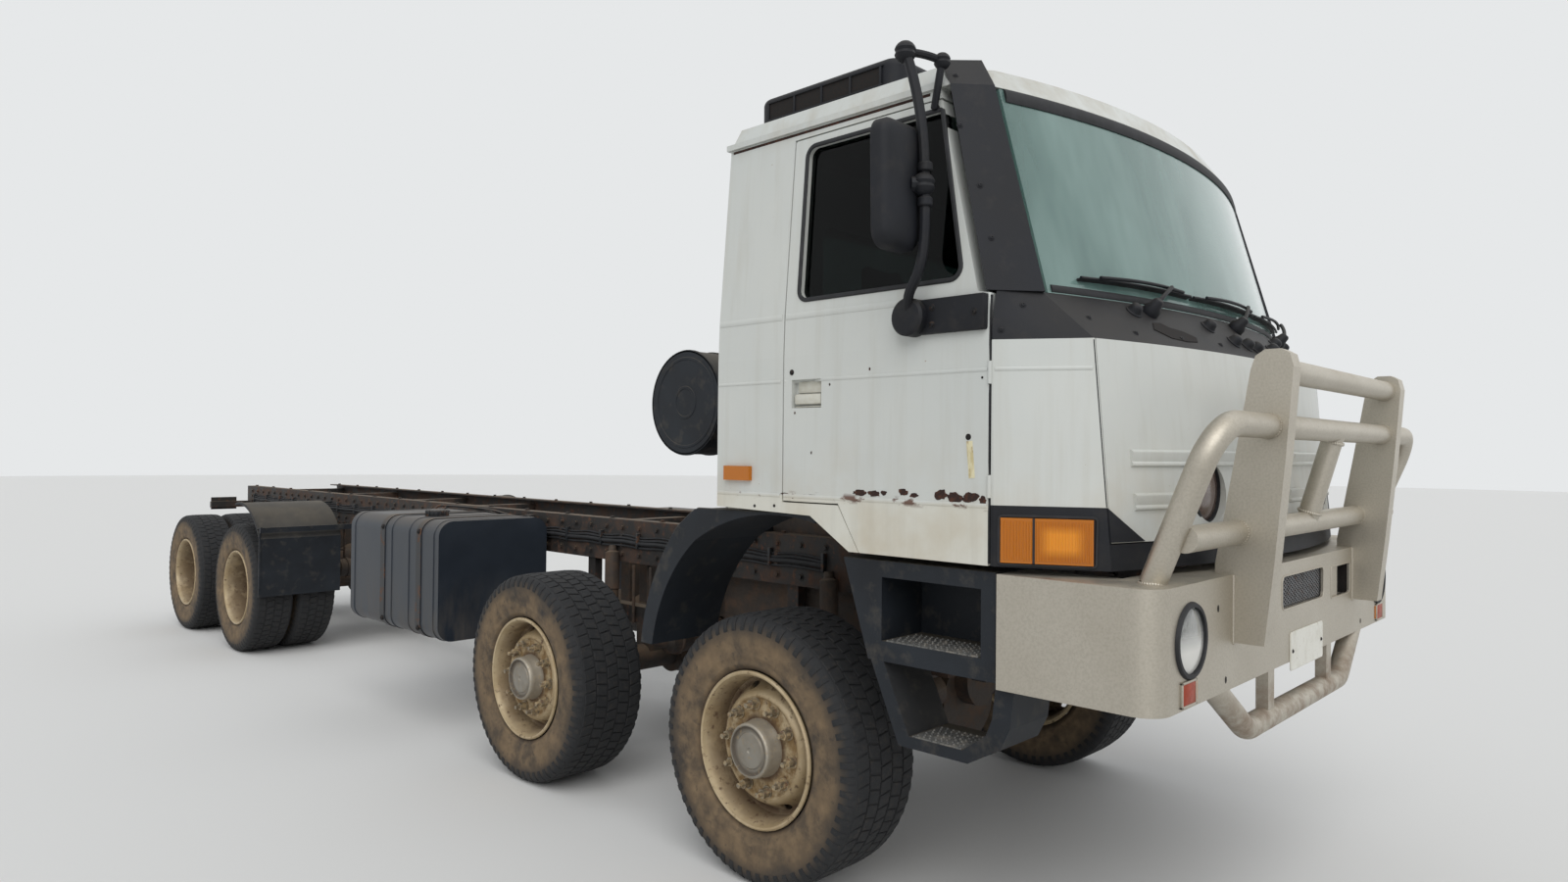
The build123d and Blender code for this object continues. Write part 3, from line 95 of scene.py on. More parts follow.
# %% [markdown]
# ## The camera
# The photograph was taken standing at the truck's right front corner, close in, with a
# wide lens. The direction was solved from edges that run along, across and up the truck.
# A matrix sets it exactly, where a Track To constraint would lose the small roll.

# %% Camera
LENS_MM = 22.39
SENSOR_MM = 36
CAMERA_PLACE = (-3.835, -5.907, 1.664)
LOOK = Vector((0.7196, 0.6942, 0.0115)).normalized()
ROLL = math.radians(0.54)


def linked(name, data):
    """A new object in the scene."""
    thing = bpy.data.objects.new(name, data)
    scene.collection.objects.link(thing)
    return thing


camera = linked("camera", bpy.data.cameras.new("camera"))
camera.data.lens = LENS_MM
camera.data.sensor_width = SENSOR_MM
scene.camera = camera
level = LOOK.cross(UP).normalized()
upward = level.cross(LOOK)
side = level * math.cos(ROLL) + upward * math.sin(ROLL)
top = upward * math.cos(ROLL) - level * math.sin(ROLL)
turn = Matrix((side, top, -LOOK)).transposed()
camera.matrix_world = Matrix.Translation(CAMERA_PLACE) @ turn.to_4x4()
print("camera at", CAMERA_PLACE)

# %% [markdown]
# ## Colours and nodes
# Paint codes and photographs give colours as sRGB hex values, while shaders work in
# linear light, so one function turns the first into the second. Another small function
# adds any node with its settings and links, which keeps the recipes below readable.

# %% Two helpers for materials
def hex_colour(code):
    """A linear colour from an sRGB hex value such as #c9cbc6."""
    parts = [int(code[i:i + 2], 16) / 255 for i in (1, 3, 5)]
    return [c / 12.92 if c <= 0.04045 else ((c + 0.055) / 1.055) ** 2.4 for c in parts] + [1]


def add(tree, kind, settings=None, links=None):
    """Adds one node. A setting is a property or a socket's value; a link feeds a socket."""
    node = tree.nodes.new(kind)
    for name, value in (settings or {}).items():
        if isinstance(name, str) and name in node.bl_rna.properties:
            setattr(node, name, value)
        else:
            node.inputs[name].default_value = value
    for name, source in (links or {}).items():
        tree.links.new(source, node.inputs[name])
    return node


print("black paint in linear light:", [round(c, 3) for c in hex_colour("#3a3d45")])

# %% [markdown]
# ## Floor and light
# A pale floor and a soft, even sky stand for a studio. An area lamp near a ten-metre truck
# would leave a bright pool on the floor, so the key light is a sun with a very wide disc:
# as soft as an overcast sky, and the same from nose to tail. It stays low enough that
# white paint does not clip. The paper-white background is only seen by the camera, in
# reflections and through glass: Light Path picks those rays, so it adds no other light.

# %% Floor, sky and lamps
SKY_LIGHT = 0.62
FLOOR_RADIUS = 60
LAMPS = (("key", (-0.52, -0.50, 0.70), 1.55, 55), ("fill", (0.75, -0.35, 0.55), 0.35, 80))

floor_shape = bmesh.new()
bmesh.ops.create_circle(floor_shape, cap_ends=True, segments=96, radius=FLOOR_RADIUS)
floor = linked("floor", bpy.data.meshes.new("floor"))
floor_shape.to_mesh(floor.data)
floor_shape.free()
pale_floor = bpy.data.materials.new("pale painted floor")
pale_floor.use_nodes = True
floor_shader = pale_floor.node_tree.nodes["Principled BSDF"]
floor_shader.inputs["Base Color"].default_value = hex_colour("#dcdbd8")
floor_shader.inputs["Roughness"].default_value = 0.85
floor.data.materials.append(pale_floor)

world = bpy.data.worlds.new("studio sky")
scene.world = world
world.use_nodes = True
sky = world.node_tree
sky.nodes.clear()
path = add(sky, "ShaderNodeLightPath").outputs
seen = path["Is Camera Ray"]
for ray in ("Is Glossy Ray", "Is Transmission Ray"):
    seen = add(sky, "ShaderNodeMath", {"operation": "MAXIMUM"}, {0: seen, 1: path[ray]}).outputs[0]
light, paper = [
    add(sky, "ShaderNodeBackground", {"Color": hex_colour(code), "Strength": strength}).outputs[0]
    for code, strength in (("#eef2f7", SKY_LIGHT), ("#e6e8e9", 1.0))]
mixed = add(sky, "ShaderNodeMixShader", {}, {0: seen, 1: light, 2: paper}).outputs[0]
add(sky, "ShaderNodeOutputWorld", {}, {"Surface": mixed})

for name, direction, strength, disc_degrees in LAMPS:
    lamp = linked(name, bpy.data.lights.new(name, "SUN"))
    lamp.data.energy = strength
    lamp.data.angle = math.radians(disc_degrees)
    lamp.location = Vector(direction) * 10
    lamp.rotation_euler = (-Vector(direction)).to_track_quat("-Z", "Y").to_euler()
print("lamps:", [row[0] for row in LAMPS])

# %% [markdown]
# ## Where paint wears and dirt gathers
# Every finish on an old truck is a base with layers on it: dust that settled on top, mud
# thrown up from below, rust that starts at an edge. Each layer here is a mask and a
# colour, and masks multiply, to keep a layer where both of them are. They read Object
# coordinates, which are metres on the truck, so each pattern has a real size in
# millimetres and stays still when a part moves.

# %% Masks for the layers
class Mask:
    """A recipe that adds a mask's nodes to a tree; it multiplies with masks and numbers."""

    def __init__(self, recipe):
        self.recipe = recipe

    def __mul__(self, other):
        def recipe(tree):
            settings, links = {"operation": "MULTIPLY"}, {0: self.recipe(tree)}
            if isinstance(other, Mask):
                links[1] = other.recipe(tree)
            else:
                settings[1] = other
            return add(tree, "ShaderNodeMath", settings, links).outputs[0]
        return Mask(recipe)

    __rmul__ = __mul__


def graded(low, high, measure):
    """A mask that is 0 where the measure is low and 1 where it is high; low may be the larger."""
    def recipe(tree):
        return add(tree, "ShaderNodeMapRange", {1: low, 2: high}, {0: measure(tree)}).outputs[0]
    return Mask(recipe)


def blotches(size_mm, low, high, stretch=(1, 1, 1), detail=5.0):
    """Cloudy patches of about this size."""
    def measure(tree):
        place = add(tree, "ShaderNodeTexCoord").outputs["Object"]
        place = add(tree, "ShaderNodeMapping", {"Scale": stretch}, {"Vector": place}).outputs[0]
        settings = {"Scale": 1000 / size_mm, "Detail": detail, "Roughness": 0.6}
        return add(tree, "ShaderNodeTexNoise", settings, {"Vector": place}).outputs[0]
    return graded(low, high, measure)


def along(axis, low, high, centre=0.0):
    """A gradient along an axis: 0 (x), 1 (y) or 2 (z); about a centre it is two-sided."""
    def measure(tree):
        place = add(tree, "ShaderNodeTexCoord").outputs["Object"]
        value = add(tree, "ShaderNodeSeparateXYZ", {}, {0: place}).outputs[axis]
        if centre:
            for step in ({"operation": "SUBTRACT", 1: centre}, {"operation": "ABSOLUTE"}):
                value = add(tree, "ShaderNodeMath", step, {0: value}).outputs[0]
        return value
    return graded(low, high, measure)


def facing(axis, low, high):
    """How far a face looks along an axis, from the face's own normal."""
    def measure(tree):
        normal = add(tree, "ShaderNodeTexCoord").outputs["Normal"]
        return add(tree, "ShaderNodeSeparateXYZ", {}, {0: normal}).outputs[axis]
    return graded(low, high, measure)


print("masks are ready")

# %% [markdown]
# ## Stacking the layers
# A finish starts from a base colour and roughness. Each layer mixes its own colour and
# roughness over what is below it, and where it is metal or not. Bumps come last, each
# with its height in millimetres, since a bump that is right in size needs no tuning by
# eye. Numbers that are the same all over stay on the shader's own sockets.

# %% One function that stacks a finish
DIRT_IS_NOT_METAL = 0.6


def over_it(tree, kind, amount, below, above):
    """Mixes a colour or a number over what is below it, which may be plain or a socket."""
    first, second, result = (6, 7, 2) if kind == "RGBA" else (2, 3, 0)
    settings = {"data_type": kind, second: above}
    links = {0: amount}
    (links if isinstance(below, bpy.types.NodeSocket) else settings)[first] = below
    return add(tree, "ShaderNodeMix", settings, links).outputs[result]


def finish(name, slot, base, rough, *layers, bumps=(), metal=0.0, sockets=None):
    """A material: base colour, roughness, then layers of (mask, colour, roughness)."""
    material = bpy.data.materials.new(name)
    material.use_nodes = True
    tree = material.node_tree
    shader = tree.nodes["Principled BSDF"]
    for socket, value in (sockets or {}).items():
        shader.inputs[socket].default_value = value
    colour, roughness, metallic = hex_colour(base), rough, metal
    for mask, above, above_rough in layers:
        amount = mask.recipe(tree)
        colour = over_it(tree, "RGBA", amount, colour, hex_colour(above))
        roughness = over_it(tree, "FLOAT", amount, roughness, above_rough)
        if metal and above_rough > DIRT_IS_NOT_METAL:
            metallic = over_it(tree, "FLOAT", amount, metallic, 0.0)
    for socket, value in (("Base Color", colour), ("Roughness", roughness), ("Metallic", metallic)):
        if isinstance(value, bpy.types.NodeSocket):
            tree.links.new(value, shader.inputs[socket])
        else:
            shader.inputs[socket].default_value = value
    normal = {}
    for height, millimetres in bumps:
        normal = {"Normal": add(tree, "ShaderNodeBump", {"Distance": millimetres / 1000},
                                {"Height": height.recipe(tree), **normal}).outputs[0]}
    if normal:
        tree.links.new(normal["Normal"], shader.inputs["Normal"])
    return material


def dress(material, *names):
    """Gives CAD nodes a material."""
    for name in names:
        nodes[name].data.materials.clear()
        nodes[name].data.materials.append(material)
    print(material.name, "on", ", ".join(names))


# %% [markdown]
# ## Cab paint
# The cab is sprayed white enamel over pressed steel, gone chalky in the sun: the gloss is
# mostly lost, the white leans to grey high up and to cream on the rocker panel, rain has
# drawn faint streaks down it, and rust shows along the sill below the doors. Enamel gives
# a soft, wide highlight with a little orange peel.

# %% White enamel
SILL_Z = 1.505
CAB_SIDE_ENDS = FRONT_AXLE - 1.080
on_side = along(1, CAB_SIDE_ENDS - 0.01, CAB_SIDE_ENDS)
sill_rust = on_side * along(2, 0.020, 0.006, SILL_Z) * blotches(90, 0.56, 0.62, (1, 1, 2))
cab_enamel = finish(
    "chalked white enamel on pressed steel", "cab_paint", "#cbccc6", 0.42,
    (blotches(900, 0.35, 0.75), "#c3c6c2", 0.5),
    (0.8 * on_side * along(2, SILL_Z + 0.004, SILL_Z - 0.004), "#d3d0c3", 0.45),
    (0.35 * blotches(55, 0.50, 0.78, (1, 1, 0.06)), "#b3b0a4", 0.6),
    (0.5 * along(2, 1.75, 1.40) * blotches(240, 0.42, 0.72), "#b7a88d", 0.75),
    (0.5 * along(2, 2.80, 2.90) * blotches(160, 0.45, 0.7, (1, 1, 0.5)), "#a99f8b", 0.7),
    (blotches(26, 0.735, 0.76), "#8b6a4a", 0.85),
    (0.9 * sill_rust, "#5a3424", 0.9),
    bumps=[(blotches(12, 0.3, 0.7, detail=1.0), 0.05), (blotches(320, 0.2, 0.8, detail=1.0), 0.8)])
dress(cab_enamel, "cab_sides", "cab_back", "cab_roof", "front_panels", "door_right", "door_left")

# %% [markdown]
# ## Dark plastic trim
# The pillar covers, the band under the windscreen, the mirror heads, the step boxes, the
# mudguards and the roof pod are moulded ABS and polypropylene with a fine spark-eroded
# grain. Years outdoors turned the black to a dull blue-grey, and dust lies on every
# ledge. The grain is under 1 mm and would not show, so it is drawn at 3 mm.

# %% Moulded plastic
def moulded(name, base, faded, dust):
    """Grained plastic that has faded, with dust on its ledges."""
    return finish(
        name, "dark_plastic", base, 0.55,
        (0.8 * blotches(300, 0.35, 0.7), faded, 0.62),
        (dust * facing(2, 0.3, 0.9) * blotches(380, 0.10, 0.80), "#847966", 0.9),
        (0.45 * dust * blotches(70, 0.55, 0.75), "#6f6658", 0.85),
        bumps=[(blotches(3, 0.3, 0.7, detail=2.0), 0.25)], sockets={"Specular IOR Level": 0.3})


cab_plastic = moulded("weathered moulded polypropylene trim", "#131418", "#1d1f25", 0.14)
road_plastic = moulded("road-dusty moulded polypropylene", "#171a1f", "#252a30", 0.5)
dress(cab_plastic, "pillar_trims", "scuttle", "mirror_right", "mirror_left", "roof_pod", "lamp_surrounds")
dress(road_plastic, "step_boxes", "mudguards", "air_cleaner")

# %% [markdown]
# ## Aluminium bar work
# Bumper and bull bar are 6061 aluminium, cut, bent and welded, with a dull mill finish
# that was once brushed. It has gone matte and warm grey with dust and salt. Brushing
# leaves lines a few hundredths of a millimetre apart, so they are drawn 2 mm apart.

# %% Mill-finish aluminium
bar_metal = finish(
    "dulled mill-finish aluminium", "bar_aluminium", "#bfb9ad", 0.46,
    (0.6 * blotches(320, 0.35, 0.7), "#b2ab9e", 0.54),
    (0.3 * blotches(7, 0.42, 0.66), "#9b9487", 0.58),
    (0.4 * facing(2, 0.3, 0.9) * blotches(90, 0.35, 0.65), "#9c8f77", 0.85),
    (0.7 * along(2, 0.96, 0.84) * blotches(60, 0.36, 0.62), "#755e49", 0.85),
    (0.5 * blotches(24, 0.72, 0.78), "#7d766a", 0.58),
    bumps=[(blotches(2, 0.35, 0.65, (0.06, 1, 1), 2.0), 0.08), (blotches(160, 0.2, 0.8, detail=1.0), 0.7)],
    metal=1.0)
dress(bar_metal, "bumper", "bull_bar", "lower_bar")

# %% [markdown]
# ## Chassis, driveline and tank
# Rails and springs are rolled steel with black chassis paint, the axles are iron
# castings, and the tank is painted pressed steel. All of them carry red-brown rust and a
# coat of dried mud, thickest on what faces up and on what is near the wheels.

# %% Steel and iron below the cab
chassis_black = finish(
    "rusty black chassis paint on rolled steel", "frame_paint", "#24211f", 0.6,
    (blotches(140, 0.46, 0.62), "#47362c", 0.85),
    (0.7 * blotches(35, 0.57, 0.70), "#664330", 0.9),
    (0.7 * facing(2, 0.2, 0.9) * blotches(260, 0.10, 0.75), "#76654f", 0.95),
    bumps=[(blotches(9, 0.3, 0.7), 0.5)])
cast_iron = finish(
    "muddy cast iron", "driveline_iron", "#2e2825", 0.65,
    (blotches(90, 0.45, 0.65), "#4d3b2f", 0.85),
    (0.8 * facing(2, -0.2, 0.8) * blotches(260, 0.12, 0.75), "#7d6953", 0.95),
    bumps=[(blotches(5, 0.3, 0.7), 0.6), (blotches(40, 0.3, 0.7), 1.5)])
tank_paint = finish(
    "satin blue-black enamel on pressed steel", "tank_paint", "#20262e", 0.38,
    (0.7 * blotches(420, 0.35, 0.7), "#2d343d", 0.5),
    (0.55 * facing(2, 0.3, 0.9) * blotches(420, 0.08, 0.80), "#7d7161", 0.9),
    (0.35 * along(2, 0.95, 0.56) * blotches(60, 0.4, 0.7, (1, 1, 0.25)), "#6d6253", 0.85),
    (blotches(22, 0.74, 0.77), "#6a4027", 0.9),
    bumps=[(blotches(14, 0.3, 0.7, detail=1.0), 0.1), (blotches(260, 0.2, 0.8, detail=1.0), 1.0)])
strap_steel = finish(
    "black strap steel", "strap_steel", "#1f2124", 0.5,
    (blotches(50, 0.55, 0.66), "#5c3f2c", 0.85),
    (0.5 * facing(2, 0.3, 0.9), "#76695a", 0.9),
    bumps=[(blotches(6, 0.3, 0.7), 0.3)])
dress(chassis_black, "frame_rails", "crossmembers", "leaf_springs", "tow_coupling")
dress(cast_iron, "backbone_tube", "half_axles", "engine_block", *(f"knuckle_{side}_{i}" for side in SIGN
                                                                 for i in (1, 2)))
dress(tank_paint, "fuel_tank", "battery_box", "air_tanks")
dress(strap_steel, "tank_straps", "cab_mounts")

# %% [markdown]
# ## Glass and lenses
# The windscreen is laminated green-tinted float glass. Its pale teal film is partly dust and
# wiper smears and partly a painted reflection of the bright sky, which is why it looks milky
# and pale. The side windows are toughened glass over a dark cabin. A low index keeps the
# bright studio out of their reflection. Lenses are injection-moulded acrylic. Part of the
# light passes through and part scatters in the film, so one mask mixes both. The corner
# lamp's front chamber carries a painted highlight: paler amber that lets less light through.

# %% Glass with a film of dust
def filmed(name, slot, tint, dust_and_painted_light, rough, least, most, dust_and_painted_light_mask, index=1.5):
    """Clear stuff with a film mixed in by a mask: dust on most lenses and glass, a painted highlight in the
    amber lamp, partly a painted reflection on the windscreen; least and most are how much light passes.
    """
    material = finish(name, slot, tint, rough, (0.9 * dust_and_painted_light_mask, dust_and_painted_light, rough + 0.1), sockets={"IOR": index})
    tree = material.node_tree
    passing = add(tree, "ShaderNodeMix", {2: most, 3: least}, {0: dust_and_painted_light_mask.recipe(tree)}).outputs[0]
    tree.links.new(passing, tree.nodes["Principled BSDF"].inputs["Transmission Weight"])
    return material


# The pale teal film is partly dust and wiper smears, partly a painted reflection of the sky.
screen_glass = filmed("laminated windscreen with dust and painted reflection", "glass", "#7fa19a", "#9cb8b1", 0.06, 0.38, 0.62,
                      blotches(260, 0.25, 0.78, (1, 1, 0.14), 3.0))
side_glass = filmed("toughened side glass", "glass", "#333c3b", "#3a4241", 0.02, 0.93, 1.0,
                    blotches(260, 0.45, 0.85), index=1.22)
clear_lens = filmed("clear moulded lamp lens", "lamp_glass", "#f6f7f5", "#efede6", 0.05, 0.30, 0.90,
                    along(2, 1.175, 1.110))
# The front chamber carries a painted highlight: paler amber, less clear there.
painted_highlight_chamber = along(1, 0.062, 0.032, FRONT_AXLE - 1.275) * along(2, 0.050, 0.022, 1.404)
amber_lens = filmed("amber moulded acrylic", "amber_lens", "#cb760d", "#ee9a28", 0.14, 0.10, 0.25,
                    painted_highlight_chamber)
red_lens = filmed("red moulded acrylic", "red_lens", "#b02a18", "#8f2a1c", 0.2, 0.15, 0.45,
                  blotches(50, 0.4, 0.7))
dress(screen_glass, "cab_glass")
dress(side_glass, "door_glass_right", "door_glass_left")
dress(amber_lens, "amber_lamps")
dress(red_lens, "tail_lamps")

# %% [markdown]
# ## Inside the cab
# The dashboard and floor are hard grey polypropylene, the wheel rim is foamed
# polyurethane, and the seats have a flat woven cloth. They show only through the glass,
# dim and dusty, yet a view into the open door has to hold up.

# %% Cabin trim
cabin_trim = finish(
    "grained dashboard plastic", "cabin_trim", "#33353a", 0.6,
    (0.6 * blotches(200, 0.4, 0.7), "#3f4145", 0.66),
    (0.5 * facing(2, 0.3, 0.9) * blotches(80, 0.35, 0.7), "#7a7265", 0.9),
    bumps=[(blotches(3, 0.3, 0.7, detail=2.0), 0.2)])
dress(cabin_trim, "dashboard", "cab_floor", "steering_wheel", "seats")

# %% [markdown]
# ## From a list of points to a piece
# Turned parts, such as rims and tyres, are one outline swept round an axle. Pressed and
# cut parts are outlines pushed along a line. Both are quick in bmesh, and give clean
# quads. Every piece then goes through one function that links it, smooths its gentle
# edges, gives it its finish, and says which body carries it.

# %% Helpers that make meshes
def as_mesh(name, shape):
    """A mesh from a bmesh, with its faces pointing outwards."""
    bmesh.ops.recalc_face_normals(shape, faces=shape.faces)
    data = bpy.data.meshes.new(name)
    shape.to_mesh(data)
    shape.free()
    return data


def meshed(part):
    """A mesh as it is, or a mesh made from a bmesh shape."""
    return part if isinstance(part, bpy.types.Mesh) else as_mesh("part", part)


def joined(*parts):
    """Several meshes and shapes as one mesh."""
    shape = bmesh.new()
    for part in parts:
        shape.from_mesh(meshed(part))
    result = bpy.data.meshes.new("joined")
    shape.to_mesh(result)
    shape.free()
    return result


def evaluated(thing):
    """A plain mesh of what an object's modifiers or curves give."""
    seen_by = bpy.context.evaluated_depsgraph_get()
    return bpy.data.meshes.new_from_object(thing.evaluated_get(seen_by), depsgraph=seen_by)


def piece(name, part, material, body="chassis", replaces=(), crisp=35):
    """Links a mesh or shape as a piece of the truck that rides on a body."""
    data = meshed(part)
    data.materials.clear()
    data.materials.append(material)
    data.shade_smooth()
    data.set_sharp_from_angle(angle=math.radians(crisp))
    thing = linked(name, data)
    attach(thing, body)
    if replaces:
        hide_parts(*replaces)
    return thing


def circle(count):
    """The (cosine, sine) pairs of points spaced evenly round a circle."""
    return [(math.cos(2 * math.pi * k / count), math.sin(2 * math.pi * k / count)) for k in range(count)]


def skinned(shape, rings, closed=False):
    """Faces between rings of points, where a ring of one point is a pole."""
    for here, there in zip(rings, rings[1:] + (rings[:1] if closed else [])):
        for k in range(max(len(here), len(there))):
            ring = [here[k % len(here)], here[(k + 1) % len(here)],
                    there[(k + 1) % len(there)], there[k % len(there)]]
            corners = list(dict.fromkeys(ring))
            if len(corners) > 2:
                shape.faces.new(corners)
    return shape


def turned(outline, steps=96, closed=True, shape=None):
    """Sweeps (x, radius) points round the X axis. A closed outline makes a ring."""
    shape = bmesh.new() if shape is None else shape
    rings = [[shape.verts.new((x, radius * c, radius * s)) for c, s in circle(steps if radius else 1)]
             for x, radius in outline]
    return skinned(shape, rings, closed)


def pushed(shape, outline, travel):
    """Pushes a flat outline of points along a vector, closed at both ends."""
    near = [shape.verts.new(Vector(p)) for p in outline]
    far = [shape.verts.new(Vector(p) + Vector(travel)) for p in outline]
    shape.faces.new(near)
    shape.faces.new(reversed(far))
    for k, corner in enumerate(near):
        m = (k + 1) % len(near)
        shape.faces.new((corner, far[k], far[m], near[m]))
    return shape


def slabs(*rows, shape=None):
    """Boxes from rows of (corner, corner) or (corner, corner, rounding of the edges)."""
    shape = bmesh.new() if shape is None else shape
    for low, high, *edge in rows:
        made = bmesh.ops.create_cube(shape, size=1.0)["verts"]
        for vert in made:
            vert.co = Vector([(a + b) / 2 + c * abs(b - a) for a, b, c in zip(low, high, vert.co)])
        if edge:
            edges = list({e for v in made for e in v.link_edges})
            bmesh.ops.bevel(shape, geom=edges, offset=edge[0], segments=2, profile=0.5, affect="EDGES")
    return shape


print("mesh helpers are ready")

# %% [markdown]
# ## Repeating with Geometry Nodes
# Wheel nuts, tread blocks and bolt heads repeat by a rule, which is what Geometry Nodes
# are for. The first tree copies a shape round an axle. The second puts a shape on every
# point of a mesh and turns it along that point's own direction. Each tree ends in
# Realize Instances and Set Material, and its result is taken as a plain mesh.

# %% Two trees for copies
def new_tree(name, **sockets):
    """A Geometry Nodes tree with these inputs and one geometry output."""
    tree = bpy.data.node_groups.new(name, "GeometryNodeTree")
    tree.interface.new_socket("Geometry", in_out="OUTPUT", socket_type="NodeSocketGeometry")
    for label, kind in {"Geometry": "Geometry", "Shape": "Object", "Material": "Material", **sockets}.items():
        tree.interface.new_socket(label, in_out="INPUT", socket_type="NodeSocket" + kind)
    return tree, add(tree, "NodeGroupInput").outputs


def close_tree(tree, given, points, turned_by, size=None):
    """Puts the shape on the points, realises the copies and gives them the material."""
    shape = add(tree, "GeometryNodeObjectInfo", {}, {"Object": given["Shape"]}).outputs["Geometry"]
    links = {"Points": points, "Instance": shape, "Rotation": turned_by}
    if size is not None:
        links["Scale"] = size
    copies = add(tree, "GeometryNodeInstanceOnPoints", {}, links).outputs[0]
    real = add(tree, "GeometryNodeRealizeInstances", {}, {"Geometry": copies}).outputs[0]
    done = add(tree, "GeometryNodeSetMaterial", {}, {"Geometry": real, "Material": given["Material"]})
    add(tree, "NodeGroupOutput", {}, {0: done.outputs[0]})
    return tree


def ring_tree():
    """Copies of a shape, evenly spaced about the X axis."""
    tree, given = new_tree("copies about an axle", Count="Int", Start="Float")
    points = add(tree, "GeometryNodeMeshLine", {"Offset": (0, 0, 0)}, {"Count": given["Count"]}).outputs[0]
    index = add(tree, "GeometryNodeInputIndex").outputs[0]
    step = add(tree, "ShaderNodeMath", {"operation": "DIVIDE", 0: 2 * math.pi}, {1: given["Count"]})
    angle = add(tree, "ShaderNodeMath", {"operation": "MULTIPLY_ADD"},
                {0: index, 1: step.outputs[0], 2: given["Start"]})
    turned_by = add(tree, "ShaderNodeCombineXYZ", {}, {0: angle.outputs[0]}).outputs[0]
    return close_tree(tree, given, points, turned_by)


def point_tree():
    """A shape on every point, its Z axis turned along the point's own direction."""
    tree, given = new_tree("copies on points", Size="Float")
    facing_it = add(tree, "GeometryNodeInputNamedAttribute",
                    {"data_type": "FLOAT_VECTOR", "Name": "direction"}).outputs[0]
    turned_by = add(tree, "FunctionNodeAlignEulerToVector", {"axis": "Z"}, {"Vector": facing_it}).outputs[0]
    return close_tree(tree, given, given["Geometry"], turned_by, given["Size"])


def grow(tree, shape, material, base=None, **values):
    """Runs a tree once on a base mesh and returns what it made as a plain mesh."""
    pattern = linked("pattern", as_mesh("pattern", shape))
    carrier = linked("carrier", base or bpy.data.meshes.new("carrier"))
    values.update(Shape=pattern, Material=material)
    modifier = carrier.modifiers.new("copies", "NODES")
    modifier.node_group = tree
    for socket in tree.interface.items_tree:
        if socket.in_out == "INPUT" and socket.name in values:
            modifier[socket.identifier] = values[socket.name]
    result = evaluated(carrier)
    for thing in (carrier, pattern):
        bpy.data.objects.remove(thing)
    return result


COPIES_ROUND = ring_tree()
COPIES_ON = point_tree()


def copies_on(shape, material, rows, size=1.0):
    """A mesh with a shape on each (place, direction) pair, by the second tree."""
    points = bpy.data.meshes.new("points")
    points.from_pydata([tuple(place) for place, _ in rows], [], [])
    direction = points.attributes.new("direction", "FLOAT_VECTOR", "POINT")
    direction.data.foreach_set("vector", [c for _, way in rows for c in Vector(way).normalized()])
    return grow(COPIES_ON, shape, material, points, Size=size)


def upright(outline, steps, size=1.0, foot=(0, 0, 0)):
    """A turned shape whose axis is Z, from (height, radius) points above its foot."""
    shape = turned([(a * size, r * size) for a, r in outline], steps, closed=False)
    matrix = Matrix.Translation(foot) @ Matrix.Rotation(-math.pi / 2, 4, "Y")
    bmesh.ops.transform(shape, verts=shape.verts, matrix=matrix)
    return shape


print("trees:", COPIES_ROUND.name, "and", COPIES_ON.name)

# %% [markdown]
# ## Tyres
# These are wide radial truck tyres, moulded in vulcanised rubber with carbon black. The
# body of a tyre is an outline swept round the axle: bead, bulging sidewall with a fine
# step above the rim, and a squarer shoulder. The tread is worn low. It is a second piece
# of slanted blocks on top, copied round the axle by the first tree.

# %% The body of a tyre
BEAD_R = 0.300
GROOVE_R = TYRE_R - 0.007
TYRES = {"front": [(0.835, 1.220)], "rear": [(0.590, 0.885), (0.915, 1.210)]}
SIDEWALL = ((0.80, 0.000), (0.87, 0.008), (0.905, 0.020), (0.930, 0.024), (0.944, 0.029),
            (0.940, 0.036), (0.956, 0.046), (0.972, 0.058), (0.980, 0.062), (0.974, 0.068),
            (0.986, 0.084), (0.997, 0.112), (1.0, 0.130), (0.993, 0.147), (0.997, 0.151),
            (0.986, 0.157), (0.988, 0.166), (0.982, 0.171), (0.968, 0.183), (0.93, 0.196))
CROWN = ((0.86, GROOVE_R - 0.003), (0.78, GROOVE_R), (0, GROOVE_R + 0.001))


def with_radius(data):
    """Keeps each point's distance from the axle, for patterns that follow the tyre."""
    ring = data.attributes.new("axle_distance", "FLOAT", "POINT")
    ring.data.foreach_set("value", [math.hypot(v.co.y, v.co.z) for v in data.vertices])
    return data


tyre_meshes = {}
half_run = [(part, BEAD_R + rise) for part, rise in SIDEWALL] + list(CROWN)
loop = half_run + [(-part, radius) for part, radius in reversed(half_run[:-1])]
for kind, tyres in TYRES.items():
    shape = bmesh.new()
    for near, far in tyres:
        centre, half = (near + far) / 2, (far - near) / 2
        turned([(centre + half * part, radius) for part, radius in loop], 112, shape=shape)
    tyre_meshes[kind] = with_radius(as_mesh(kind + " tyre", shape))
print("faces in a front tyre:", len(tyre_meshes["front"].polygons))

# %% [markdown]
# ## Rubber, clean and muddy
# The tread is scrubbed to a dull blue-black by the road. The sidewalls carry the tan of
# dried mud nearly up to the shoulder, thinnest where the rubber flexes most. The mask
# for the mud follows the distance from the axle that was stored on the mesh.

# %% Tyre finishes
def from_axle(low, high):
    """A gradient with the distance from the axle."""
    return graded(low, high, lambda tree: add(tree, "ShaderNodeAttribute",
                                              {"attribute_name": "axle_distance"}).outputs["Fac"])


